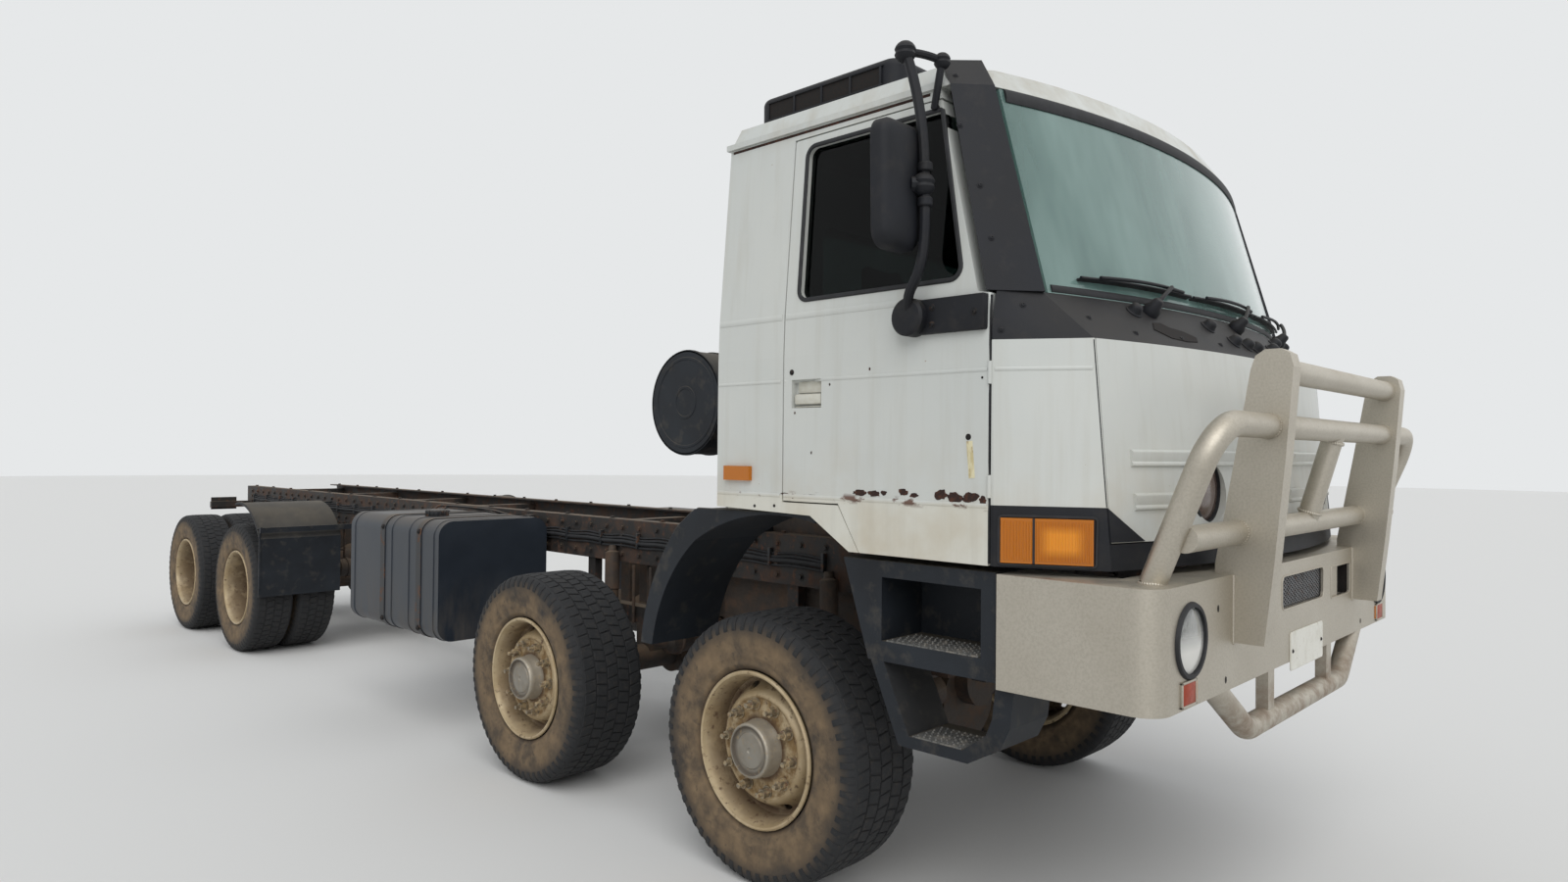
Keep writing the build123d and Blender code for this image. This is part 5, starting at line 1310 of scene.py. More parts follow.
SPINDLES = (-0.650, -0.030, 0.590)
BLADE_HALF = 0.300
BLADE_Z = 2.225
GLASS_HALF = 0.98
wiper_parts, wiper_lips = [], bmesh.new()
for x in SPINDLES:
    foot, out = front_line([(x, 2.140)])[0]
    tip, tip_out = front_line([(x + 0.13, BLADE_Z)], GLASS_SKIN)[0]
    line = [(x + 0.01 + t / 4 * BLADE_HALF, BLADE_Z + 0.004 * (1 - t * t / 16)) for t in range(-4, 5)]
    blade = front_line([point for point in line if abs(point[0]) < GLASS_HALF], GLASS_SKIN)
    moulding(wiper_lips, blade, [(-0.004, 0.001), (-0.002, 0.014), (0.002, 0.014), (0.004, 0.001)])
    start, end = foot + out * 0.045, tip + tip_out * 0.052
    bridge = [place + normal * (0.026 + 0.018 * math.sin(math.pi * k / (len(blade) - 1)))
              for k, (place, normal) in enumerate(blade)]
    wiper_parts += [
        turned_on([(0, 0), (0, 0.030), (0.018, 0.030), (0.030, 0.022), (0.050, 0.018), (0.056, 0.012),
                   (0.057, 0)], foot, out, 24),
        rods([[start, start.lerp(end, 0.4) + out * 0.012, end]], 0.0075),
        rods([[place + normal * 0.020 for place, normal in blade]], 0.005),
        rods([bridge[1:-1]], 0.006)]
piece("wiper_arms", joined(*wiper_parts), cab_plastic)
piece("wiper_lips", wiper_lips, rubber)
print("wipers:", len(SPINDLES))

# %% Knobs and the torn patch on the scuttle
def dome(size):
    """A knob standing along Z, wider at its foot."""
    return upright([(-0.3, 0), (-0.3, 1.0), (0.10, 1.0), (0.18, 0.86), (0.45, 0.74), (0.75, 0.68),
                    (0.95, 0.50), (1.02, 0.22), (1.03, 0)], 20, size)


KNOBS = ((-0.742, 2.135), (-0.311, 2.120), (-0.209, 2.072), (-0.11, 2.066), (-0.037, 2.060),
         (0.427, 2.120), (0.742, 2.135), (0.20, 2.075))
TORN = [(-0.735, 2.072), (-0.700, 2.098), (-0.655, 2.102), (-0.625, 2.088), (-0.56, 2.080),
        (-0.505, 2.062), (-0.53, 2.044), (-0.60, 2.040), (-0.68, 2.046)]
spread("scuttle_knobs", dome(0.030), front_line(KNOBS), cab_plastic)
# The torn patch is a flat black patch of painted shade where the broken cover opens.
piece("scuttle_torn_patch", patch(bmesh.new(), TORN, 0.001, 0.0035), painted_shade_black)

# %% [markdown]
# ## Mirrors
# A bent steel tube stands in a round foot on the door's corner and is stayed to the door
# frame at its top. The head hangs behind the tube from a ribbed ball clamp: a moulded
# shell with a bulging back, and two silvered glasses in its rear face. A loft through a
# few rounded outlines gives the shell its soft edges. These pieces replace the CAD arms.

# %% Mirror feet, tubes and heads
silvered = finish(
    "silvered mirror glass", "dark_plastic", "#dfe3e4", 0.06,
    (0.35 * blotches(60, 0.5, 0.75), "#b5b2a8", 0.35), metal=1.0)
HEAD_LOW, HEAD_HIGH = 2.300, 2.705
HEAD_RINGS = ((0.795, 0.004), (0.799, 0.0), (0.832, 0.001), (0.848, 0.010), (0.857, 0.028), (0.860, 0.050))
TUBE_FORWARD, TUBE_X = 0.882, 1.330
TUBE_TOP = (0.800, TUBE_X, 2.952)
STAY_END = (0.862, 1.214, 2.940)
TUBE = [(0.790, 1.288, 2.120), (0.800, 1.318, 2.160), (0.862, TUBE_X, 2.235), (TUBE_FORWARD, TUBE_X, 2.330),
        (TUBE_FORWARD, TUBE_X, 2.500), (0.872, TUBE_X, 2.700), (0.825, TUBE_X, 2.900), TUBE_TOP]
CLAMP_RING = [(-0.014, 0), (-0.014, 0.021), (-0.010, 0.024), (0.010, 0.024), (0.014, 0.021), (0.014, 0)]


def loft(rings):
    """Joins outlines of equal count into one closed skin."""
    shape = bmesh.new()
    rows = [[shape.verts.new(p) for p in ring] for ring in rings]
    skinned(shape, rows)
    shape.faces.new(rows[0])
    shape.faces.new(reversed(rows[-1]))
    return shape


def ball(radius):
    """The outline of a ball joint with a groove round it."""
    arc = [(k, math.pi * k / 12) for k in range(13)]
    return [(-radius * math.cos(a), 0 if k in (0, 12) else radius * math.sin(a) * (0.86 if k == 6 else 1))
            for k, a in arc]


for side, sign in SIGN.items():
    put = on_side_of(sign)
    head = []
    for forward, inset in HEAD_RINGS:
        low, high = HEAD_LOW + inset, HEAD_HIGH - inset
        outline = rounded([(1.306 + inset, low), (1.494 - inset, low), (1.504 - inset, high),
                           (1.296 + inset, high)], 0.052 - inset * 0.5)
        head.append([put(forward, x, z) for x, z in outline])
    top, out = side_line(side, [(0.828, 2.800)])[0]
    parts = [
        loft(head),
        slabs((put(1.062, 1.236, 2.048), put(0.800, 1.272, 2.160), 0.006)),
        turned_on([(-0.075, 0), (-0.075, 0.062), (-0.008, 0.062), (0, 0.054), (0.004, 0.030), (0.004, 0)],
                  put(0.790, 1.306, 2.105), (sign, 0, 0), 40),
        rods([[put(*place) for place in TUBE]], 0.0165),
        rods([[put(*place) for place in (TUBE_TOP, (0.835, 1.270, 2.958), STAY_END)]], 0.013),
        rods([[top - out * 0.004, top + out * 0.012, put(0.852, 1.222, 2.860), put(0.862, 1.214, 2.945)]],
             0.013, smooth=False),
        turned_on(ball(0.036), put(*TUBE_TOP), UP),
        turned_on(ball(0.028), put(*STAY_END), UP),
        turned_on(ball(0.038), put(TUBE_FORWARD - 0.004, 1.334, 2.510), UP),
        rods([[put(0.852, 1.365, 2.510), put(0.880, 1.335, 2.510)]], 0.024, smooth=False),
        *(turned_on(CLAMP_RING, put(TUBE_FORWARD, TUBE_X, z), UP) for z in (2.455, 2.565))]
    piece("mirror_arm_" + side, joined(*parts), cab_plastic, "door_" + side, replaces=["mirror_" + side])
    glass = bmesh.new()
    for low_z, high_z in ((2.445, 2.680), (2.330, 2.425)):
        outline = box_line((1.322, low_z), (1.478, high_z), 0.026)
        pushed(glass, [put(0.797, x, z) for x, z in outline], (0, 0.0035, 0))
    piece("mirror_glass_" + side, glass, silvered, "door_" + side)
print("mirrors on both doors")

# %% [markdown]
# ## Edges of the doors
# The sheet metal of a door is folded back in a round hem, and a rubber strip behind its
# front edge keeps water out. Both narrow the gap that is seen. A narrow moulding follows
# the door's own edge and swings with it.

# %% Door hems and front seals
HEM_WIDE, SEAL_WIDE = 0.0055, 0.0075
DOOR_EDGE = [(0.1995, 2.820), (0.1995, 1.490), (0.4640, 1.490), (0.5625, 1.325)]
DOOR_HEAD = [(0.1995, 2.820), (0.846, 2.820)]
DOOR_NOSE = [(1.0665, 1.330), (1.0665, 2.155)]


def edge_strip(shape, side, corners, wide, turn_about):
    """A strip that starts on the door's edge, between corners, and reaches into the gap."""
    line = corners[-1:]
    for (f0, z0), (f1, z1) in reversed(list(zip(corners, corners[1:]))):
        count = max(2, round(math.hypot(f1 - f0, z1 - z0) / 0.05))
        line = [(f0 + (f1 - f0) * k / count, z0 + (z1 - z0) * k / count) for k in range(count)] + line
    run = [(place, Vector((SIGN[side], 0, 0))) for place, _ in side_line(side, line, DOOR_SKINS[side])]
    section = [(-0.0015, -0.006), (-0.0015, -0.0008), (wide - 0.001, -0.0004), (wide, -0.006)]
    return moulding(shape, run, [(a * SIGN[side] * turn_about, h) for a, h in section])


for side in SIGN:
    hems = edge_strip(bmesh.new(), side, DOOR_EDGE, HEM_WIDE, -1)
    piece("door_hems_" + side, edge_strip(hems, side, DOOR_HEAD, HEM_WIDE, 1), cab_enamel, "door_" + side)
    piece("door_front_seal_" + side, edge_strip(bmesh.new(), side, DOOR_NOSE, SEAL_WIDE, -1), rubber,
          "door_" + side)
print("hems on both doors")

# %% [markdown]
# ## Roof details
# Each side of the roof pod is an air inlet: a slot drawn as a flat black box of painted
# shade, with thin posts across it. A dark line of dirt and rust has gathered under the gutter.

# %% Pod inlets and the gutter line
slots, posts, gutter = bmesh.new(), bmesh.new(), bmesh.new()
for side, sign in SIGN.items():
    put = on_side_of(sign)
    # The slot is a flat black box of painted shade.
    slabs((put(0.490, 1.0590, 3.002), put(-0.080, 1.0625, 3.070)), shape=slots)
    slabs(*((put(0.498, 1.0590, z), put(-0.088, 1.0680, z + 0.007), 0.001) for z in (2.996, 3.067)),
          *((put(f + 0.005, 1.0590, 3.000), put(f - 0.005, 1.0675, 3.070), 0.001)
            for f in (-0.084, 0.059, 0.202, 0.345, 0.488)), shape=posts)
    run = side_line(side, [(f, 2.852) for f in steps_between(-0.15, 0.80, 0.06)])
    moulding(gutter, run, bead(0.010, 0.0022, 0.001))
piece("pod_slots", slots, painted_shade_black)
piece("pod_posts", posts, cab_plastic)
piece("gutter_dirt_line", gutter, raw_rust)
print("roof details done")

# %% [markdown]
# ## Round lamps
# The headlamps are sealed units: a pressed steel bowl with an aluminised mirror, a bulb
# shield in the middle, a fluted glass lens and a black rubber ring. The same unit, with
# a browner lens, sits in the cab's nose behind the bull bar. A flat disc would read as a
# sticker, so the bowl and the lens are both turned, with air between them.

# %% Headlamps
aluminised = finish(
    "aluminised lamp reflector", "lamp_glass", "#d9dcdc", 0.12,
    (0.6 * blotches(70, 0.5, 0.75), "#a9a498", 0.4), metal=1.0)
smoked_lens = filmed("browned moulded lamp lens", "lamp_glass", "#a48d84", "#8a776d", 0.12, 0.35, 0.6,
                     blotches(50, 0.4, 0.8))
LAMP_R = 0.100
LAMP_PLACES = (("bumper_lamp", 1.6085, 1.033, 1.140, clear_lens),
               ("cab_lamp", 1.4870, 0.600, 1.550, smoked_lens))
LAMP_PARTS = (
    ("reflector", [(-0.018, 0.93), (-0.040, 0.80), (-0.062, 0.52), (-0.072, 0.22), (-0.073, 0), (-0.082, 0),
                   (-0.081, 0.25), (-0.070, 0.58), (-0.046, 0.86), (-0.018, 0.98)], 48, True, aluminised),
    ("shield", [(-0.074, 0), (-0.074, 0.18), (-0.050, 0.20), (-0.036, 0.20), (-0.030, 0.12), (-0.029, 0)],
     24, False, aluminised),
    ("lens", [(-0.020, 0), (-0.020, 0.95), (-0.010, 0.955), (-0.006, 0.90), (-0.002, 0.60), (0.000, 0.3),
              (0.001, 0)], 48, False, None),
    ("ring", [(-0.030, 0.94), (0.001, 0.95), (0.0015, 1.0), (0.001, 1.06), (-0.006, 1.10), (-0.030, 1.10)],
     64, True, rubber))
FLUTE_GAP, FLUTE_HALF = 0.105 * LAMP_R, 0.003


def lens_flutes(shape):
    """Upright ribs on the back of a round lens, each as tall as the circle is there."""
    for k in range(-8, 9):
        x = k * FLUTE_GAP
        tall = math.sqrt((0.86 * LAMP_R) ** 2 - x * x)
        slabs(((-0.0195, x - FLUTE_HALF, -tall), (-0.0165, x + FLUTE_HALF, tall)), shape=shape)


for label, forward, across, up, glass in LAMP_PLACES:
    for side, sign in SIGN.items():
        for part, outline, steps, closed, material in LAMP_PARTS:
            shape = turned([(x, share * LAMP_R) for x, share in outline], steps, closed)
            if part == "lens":
                lens_flutes(shape)
            name = f"{label}_{part}_{side}"
            piece(name, placed(shape, at(forward, sign * across, up), FORWARD), material or glass,
                  replaces=["headlamps"] if name == "bumper_lamp_reflector_right" else [])
print("lamps:", 2 * len(LAMP_PLACES))

# %% [markdown]
# ## Amber lamps
# The corner lamp is one amber moulding in two chambers. Fine vertical flutes spread the
# light, and a dark bezel frames it. The bumper's side markers sit in small metal frames.

# %% Flutes, bezels and frames
AMBER_SKIN = skin_of("amber_lamps", "lamp_surrounds")
CHAMBER_WALL = 1.200
flutes, bezels = bmesh.new(), bmesh.new()
for side in SIGN:
    for f in steps_between(1.116, 1.345, 0.0085):
        if abs(f - CHAMBER_WALL) >= 0.006:
            run = side_line(side, [(f, z) for z in (1.345, 1.404, 1.463)], AMBER_SKIN)
            moulding(flutes, run, bead(0.006, 0.0022, 0.001))
    frame_run = side_line(side, box_line((1.103, 1.331), (1.357, 1.477), 0.010, 3), AMBER_SKIN)
    moulding(bezels, frame_run, bead(0.010, 0.005), closed=True)
    wall_run = side_line(side, [(CHAMBER_WALL, z) for z in (1.336, 1.404, 1.472)], AMBER_SKIN)
    moulding(bezels, wall_run, bead(0.007, 0.0035))
piece("corner_lamp_flutes", flutes, amber_lens)
piece("corner_lamp_bezels", bezels, rubber)

marker_lens = filmed("orange-red moulded acrylic", "amber_lens", "#b03d16", "#943417", 0.3, 0.10, 0.35,
                     blotches(30, 0.4, 0.7), index=1.3)
MARKER_X, MARKER_HALF = 1.052, 0.052
MARKER_LOW, MARKER_HIGH = 0.957, 1.031
RAIL = 0.007
frames, markers = bmesh.new(), bmesh.new()
for sign in SIGN.values():
    x0, x1 = sign * MARKER_X - MARKER_HALF, sign * MARKER_X + MARKER_HALF
    for rail in ((x0, x1, MARKER_LOW, MARKER_LOW + RAIL), (x0, x1, MARKER_HIGH - RAIL, MARKER_HIGH),
                 (x0, x0 + RAIL, MARKER_LOW, MARKER_HIGH), (x1 - RAIL, x1, MARKER_LOW, MARKER_HIGH)):
        slabs((at(1.6070, rail[0], rail[2]), at(1.5985, rail[1], rail[3]), 0.0015), shape=frames)
    slabs((at(1.6055, x0 + 0.006, MARKER_LOW + 0.006), at(1.5990, x1 - 0.006, MARKER_HIGH - 0.006), 0.003),
          shape=markers)
piece("marker_frames", frames, bar_metal)
piece("marker_lenses", markers, marker_lens)
print("flutes drawn in both corner lamps")

# %% [markdown]
# ## Bumper face
# The centre opening is closed by expanded metal behind a flanged edge. Black walls behind
# all three openings are painted shade, so the two side openings look dark. A blank number
# plate hangs under the centre. Expanded metal is a sheet that was slit and stretched into
# diamonds: one diamond, copied on a staggered grid by the second tree, makes the sheet.

# %% Mesh, flanges and number plate
mesh_steel = finish(
    "galvanised expanded steel mesh", "bar_aluminium", "#6f7072", 0.5,
    (0.8 * blotches(40, 0.45, 0.65), "#4b4845", 0.75),
    (0.6 * blotches(12, 0.55, 0.68), "#6b4c36", 0.9), metal=0.7)
plate_white = finish(
    "blank reflective number plate", "lamp_glass", "#d8d6cc", 0.35,
    (0.5 * blotches(60, 0.45, 0.7), "#b9b3a3", 0.5),
    (0.6 * blotches(20, 0.6, 0.72), "#8a7b64", 0.8),
    bumps=[(blotches(40, 0.3, 0.7, detail=1.0), 0.4)])
MESH_LONG, MESH_TALL, STRAND = 0.030, 0.014, 0.0022
MESH_HALF, MESH_FOOT = 0.226, 1.146
PLATE_FACE, PLATE_X, PLATE_Z = 1.6045, 0.03, 0.985
PLATE_HALF = (0.186, 0.067)


def diamond():
    """One link of expanded metal, lying in the XY plane."""
    shape = bmesh.new()
    outer = [(MESH_LONG / 2, 0), (0, MESH_TALL / 2), (-MESH_LONG / 2, 0), (0, -MESH_TALL / 2)]
    inner = 1 - 2 * STRAND / MESH_TALL
    rows = [[shape.verts.new((x * k, y * k, z)) for x, y in outer]
            for k, z in ((1, -0.001), (1, 0.001), (inner, 0.001), (inner, -0.001))]
    return skinned(shape, rows, closed=True)


def face_run(forward, outline):
    """A line of (across, up) points on a flat front face."""
    return [(at(forward, x, z), FORWARD) for x, z in outline]


grid = [((column + row % 2 / 2) * MESH_LONG, MESH_FOOT + row * MESH_TALL / 2)
        for row in range(15) for column in range(-8, 9)]
links = face_run(1.588, [(x, z) for x, z in grid if abs(x) < MESH_HALF])
spread("bumper_mesh", diamond(), links, mesh_steel)

flange, backing, pinholes = bmesh.new(), bmesh.new(), bmesh.new()
for low, high, radius in (((-0.238, 1.137), (0.238, 1.253), 0.024), ((0.338, 1.120), (0.592, 1.242), 0.010),
                          ((-0.592, 1.120), (-0.338, 1.242), 0.010)):
    moulding(flange, face_run(1.600, box_line(low, high, radius, 4)), bead(0.006, 0.0025, 0.002), closed=True)
piece("opening_flanges", flange, bar_metal)
# Black walls behind the three openings: painted shade.
for x0, x1, z0, z1 in ((-0.240, 0.240, 1.135, 1.255), (0.335, 0.595, 1.117, 1.245),
                       (-0.595, -0.335, 1.117, 1.245)):
    slabs((at(1.560, x0, z0), at(1.552, x1, z1)),
          *((at(1.592, wall, z0), at(1.556, wall + 0.003, z1)) for wall in (x0, x1 - 0.003)), shape=backing)
piece("opening_ducts", backing, painted_shade_black)

half_x, half_z = PLATE_HALF
outline = box_line((-half_x, -half_z), (half_x, half_z), 0.010, 4)
plate = pushed(bmesh.new(), [at(PLATE_FACE, PLATE_X + x, PLATE_Z + z) for x, z in outline], (0, 0.004, 0))
raised = [(PLATE_X + x * 0.965, PLATE_Z + z * 0.92) for x, z in outline]
moulding(plate, face_run(PLATE_FACE, raised), bead(0.004, 0.0012, 0.001), closed=True)
piece("number_plate_blank", plate, plate_white)
plate_screws = face_run(PLATE_FACE, [(PLATE_X + dx, PLATE_Z) for dx in (-0.165, 0.165)])
spread("number_plate_screws", screw(0.006), plate_screws)
# Four pinholes drawn as flat black discs of painted shade.
for x, z in ((-0.824, 1.208), (0.824, 1.208), (-0.76, 0.985), (0.76, 0.985)):
    pushed(pinholes, [at(1.599, x + 0.007 * c, z + 0.011 * s) for c, s in circle(16)], (0, -0.0016, 0))
piece("bumper_holes", pinholes, painted_shade_black)

# %% [markdown]
# ## Weld beads
# The bull bar is welded by hand: every tube ends in a ring of overlapping puddles, as
# evenly stacked as coins. A small flattened ball, copied round the joint, gives that
# ripple, where a plain ring would look machined.

# %% Welds on the bull bar
TUBE_R, PUDDLE_R = 0.038, 0.0062
BAR_FACE, BAR_FOOT, BAR_HEAD = 1.6005, 1.088, 1.298
UPRIGHT_EDGES = (0.628, 0.702)
TUBE_JOINTS = ((1.712, 0.6285, 1.930), (1.700, 0.6285, 1.757), (1.700, 0.7015, 1.757),
               (1.608, 0.6285, 1.430), (1.608, 0.7015, 1.430))
POST_FOOT, POST_HEAD = at(1.608, 0, 1.430), at(1.700, 0, 1.757)

puddle = bmesh.new()
bmesh.ops.create_uvsphere(puddle, u_segments=8, v_segments=5, radius=PUDDLE_R)
bmesh.ops.scale(puddle, verts=puddle.verts, vec=(1.0, 0.8, 0.55))
bmesh.ops.translate(puddle, verts=puddle.verts, vec=(0, 0, TUBE_R))
weld_ring = grow(COPIES_ROUND, puddle, bar_metal, Count=30, Start=0.0)

joints, seams = [], bmesh.new()
for sign in SIGN.values():
    put = on_side_of(sign)
    joints += [(put(*place), (1, 0, 0)) for place in TUBE_JOINTS]
    joints.append((put(1.520, 1.105, 1.3015), (0, 0, 1)))
    for across in UPRIGHT_EDGES:
        ripple = [(sign * across + 0.0006 * (-1) ** k, z)
                  for k, z in enumerate(steps_between(BAR_FOOT, BAR_HEAD, 0.007))]
        moulding(seams, face_run(BAR_FACE, ripple), bead(0.009, 0.004))
    foot_run = face_run(BAR_FACE, [(sign * x, BAR_FOOT) for x in steps_between(*UPRIGHT_EDGES, 0.007)])
    moulding(seams, foot_run, bead(0.009, 0.004))
lean = (POST_HEAD - POST_FOOT).normalized()
joints += [(POST_FOOT + lean * 0.040, lean), (POST_HEAD - lean * 0.040, lean)]
welds = []
for place, axis in joints:
    welds.append(weld_ring.copy())
    welds[-1].transform(aimed(place, axis))
piece("bull_bar_welds", joined(*welds, seams), bar_metal)
print("weld rings:", len(welds))

# %% [markdown]
# ## Steps
# A boot needs grip, so the step box's sill and the hanging step carry plates of pressed
# steel with raised studs. They are worn bright and speckled grey. The studs are domes on
# a staggered grid, and rays find the tops of the two treads.

# %% Non-slip treads
worn_tread = finish(
    "speckled galvanised tread plate", "strap_steel", "#6d6c69", 0.6,
    (blotches(7, 0.48, 0.58), "#3f3f3e", 0.75),
    (0.7 * blotches(30, 0.5, 0.7), "#8a8276", 0.8),
    bumps=[(blotches(5, 0.3, 0.7), 0.6)], metal=0.4)
STEP_SKIN = skin_of("step_boxes")
TREAD_NEAR, TREAD_FAR, TREAD_MIDDLE = 1.060, 1.222, 1.15
STUD_GAP, EDGE = 0.022, 0.014
treads, studs = bmesh.new(), []
for sign in SIGN.values():
    put = on_side_of(sign)
    for ceiling, f0, f1 in ((1.20, 0.650, 1.020), (0.93, 0.680, 0.990)):
        level = laid(STEP_SKIN, [put(0.84, TREAD_MIDDLE, ceiling)], -UP)[0][0].z
        hits = laid(STEP_SKIN, [put(f, TREAD_MIDDLE, ceiling) for f in steps_between(0.60, 1.06, 0.01)], -UP)
        flat = [FRONT_AXLE - place.y for place, _ in hits if abs(place.z - level) < 0.004]
        f0, f1 = max(f0, min(flat) + 0.01), min(f1, max(flat) - 0.01)
        slabs((put(f1, TREAD_NEAR, level - 0.002), put(f0, TREAD_FAR, level + 0.004), 0.001),
              (put(f1, TREAD_FAR - 0.004, level - 0.022), put(f0, TREAD_FAR + 0.0015, level + 0.005), 0.001),
              shape=treads)
        for row, across in enumerate(steps_between(TREAD_NEAR + EDGE, TREAD_FAR - EDGE, STUD_GAP)):
            for forward in steps_between(f0 + EDGE + row % 2 * STUD_GAP / 2, f1 - EDGE, STUD_GAP):
                studs.append((put(forward, across, level + 0.0035), UP))
piece("step_treads", treads, worn_tread)
spread("step_studs", dome(0.0055), studs, worn_tread)

# %% [markdown]
# ## Mudguard lips
# A moulded guard ends in a rolled lip, which stiffens the edge and catches the light.
# Rays shot towards the axle find the guard's outer face, and a round bead follows it.

# %% Lips and bolts on the mudguards
GUARD_SKIN = skin_of("mudguards")
BOLTS_ACROSS = (0.66, 0.72, 0.78, 0.90, 1.02, 1.14)


def over_wheel(axle, across, first, last):
    """Points of a guard above a wheel, by rays shot towards the axle from first to last degree."""
    centre = Vector((across, AXLES[axle], HUB_HEIGHT))
    run = []
    for angle in map(math.radians, steps_between(first, last, 3)):
        spoke = Vector((0, -math.cos(angle), math.sin(angle)))
        met = laid(GUARD_SKIN, [centre + spoke * 1.5], -spoke)
        run += [(place, spoke) for place, _ in met if (place - centre).length > 0.5]
    return run


lips, guard_bolts = bmesh.new(), []
for side, sign in SIGN.items():
    for axle, across, first, last in ((0, 1.214, 70, 175), (2, 1.202, 5, 140)):
        run = over_wheel(axle, sign * across, first, last)
        moulding(lips, run, bead(0.014, 0.006, 0.003))
        print(side, "guard", axle + 1, "lip points:", len(run))
    guard_bolts += face_run(-5.478, [(sign * across, 1.020) for across in BOLTS_ACROSS])
piece("guard_lips", lips, road_plastic)
spread("guard_bolts", screw(0.012), guard_bolts)

# %% [markdown]
# ## Fuel tank
# A fuel tank is a rolled shell with two pressed ends, welded all round: the seam stands
# up as a narrow flange. Strap bolts pull it down onto brackets, and the filler has a
# ribbed cap. The ribs are one small block, copied round the cap by the first tree.

# %% Tank seams, cap and strap bolts
TANK_LOW, TANK_HIGH, TANK_ROUNDING = (-1.205, 0.560), (-0.500, 1.250), 0.090
TANK_MIDDLE = Vector((-0.8525, 0, 0.905))
TANK_SEAMS = ((-3.700, 0.012), (-3.160, 0.008), (-2.930, 0.008), (-2.620, 0.012))
FILLER = at(-3.050, -0.972, 1.2505)
SENDER = at(-3.42, -0.80, 1.249)
seams = bmesh.new()
outline = box_line(TANK_LOW, TANK_HIGH, TANK_ROUNDING, 8)
for forward, wide in TANK_SEAMS:
    run = [(at(forward, x, z), (Vector((x, 0, z)) - TANK_MIDDLE).normalized()) for x, z in outline]
    moulding(seams, run, bead(wide, 0.0045), closed=True)
piece("tank_seams", seams, tank_paint)

cap = upright([(0, 0), (0, 0.064), (0.006, 0.067), (0.030, 0.067), (0.036, 0.061), (0.037, 0.030),
               (0.033, 0.026), (0.033, 0)], 36, foot=FILLER)
grip = slabs(((0, -0.004, 0.058), (0.034, 0.004, 0.070), 0.001))
ridges = grow(COPIES_ROUND, grip, strap_steel, Count=18, Start=0.0)
ridges.transform(Matrix.Translation(FILLER) @ Matrix.Rotation(-math.pi / 2, 4, "Y"))
piece("tank_filler_cap", joined(cap, ridges), strap_steel)

tank_bolts = [(at(f, -1.209, z), (-1, 0, 0)) for f in (-3.28, -2.80) for z in (0.62, 1.18)]
tank_bolts += face_run(-2.559, [(-0.70, 0.66), (-0.60, 0.66)])
tank_bolts += [(at(f, -0.72, 1.249), UP) for f in (-3.40, -3.46)]
spread("tank_bolts", screw(0.014), tank_bolts)
sender = upright([(0, 0), (0, 0.045), (0.006, 0.045), (0.008, 0.030), (0.020, 0.028), (0.022, 0)], 24,
                 foot=SENDER)
FUEL_LINES = (((-3.42, -0.80, 1.268), (-3.42, -0.79, 1.292), (-3.38, -0.74, 1.292), (-3.30, -0.62, 1.280),
               (-3.22, -0.50, 1.262), (-3.10, -0.458, 1.235), (-2.80, -0.458, 1.215)),
              ((-3.46, -0.72, 1.255), (-3.46, -0.71, 1.285), (-3.40, -0.62, 1.282), (-3.28, -0.50, 1.255),
               (-3.10, -0.457, 1.205), (-2.80, -0.457, 1.190)))
fuel_lines = rods([[at(*place) for place in line] for line in FUEL_LINES], 0.007)
piece("tank_sender_and_lines", joined(sender, fuel_lines), strap_steel)

# %% [markdown]
# ## Along the rails
# Chassis rails are never bare: rows of huck bolts, clipped brake and cable lines, and
# brackets run along them. The bolts are short hexagons in pairs, with four in every fourth
# column. The lines are thin rods in clips, with a slight sag between them.

# %% Rail bolts, pipes and clips
PIPES = ((1.150, 0.011, 1.0), (1.128, 0.007, 1.4), (1.172, 0.007, 1.8), (1.190, 0.005, 2.2))
SAG = 0.009
hex_bolt = bmesh.new()
for sides, radius, low, high in ((12, 0.0190, -0.0020, 0.0028), (6, 0.0124, 0.0028, 0.0124)):
    pushed(hex_bolt, [(radius * c, radius * s, low) for c, s in circle(sides)], (0, 0, high - low))

rail_bolts, pipes, clips = [], [], bmesh.new()
for sign in SIGN.values():
    put = on_side_of(sign)
    for k, forward in enumerate(steps_between(-8.05, 1.25, 0.155)):
        heights = (1.075, 1.225) if k % 4 else (1.075, 1.125, 1.175, 1.225)
        rail_bolts += [(put(forward, 0.4495, up), (sign, 0, 0)) for up in heights]
        if k % 3 == 0:
            rail_bolts.append((put(forward, 0.41, 1.2695), UP))
    for up, radius, slack in PIPES:
        line = [put(forward, 0.4515 + radius, up - SAG * slack * (k % 2))
                for k, forward in enumerate(steps_between(-7.95, -0.30, 0.17))]
        pipes.append(rods([line], radius))
    slabs(*((put(f + 0.008, 0.449, 1.115), put(f - 0.008, 0.4745, 1.200), 0.002)
            for f in steps_between(-7.95, -0.30, 0.34)), shape=clips)
spread("rail_bolts", hex_bolt, rail_bolts, chassis_black)
piece("rail_pipes", joined(*pipes), rubber)
piece("rail_pipe_clips", clips, strap_steel)

# %% [markdown]
# ## Springs and dampers
# U-bolts clamp each leaf spring, a damper stands beside it, and brake chambers sit on the
# axle arms. They fill the dark space between the wheels, where a real chassis is busy.

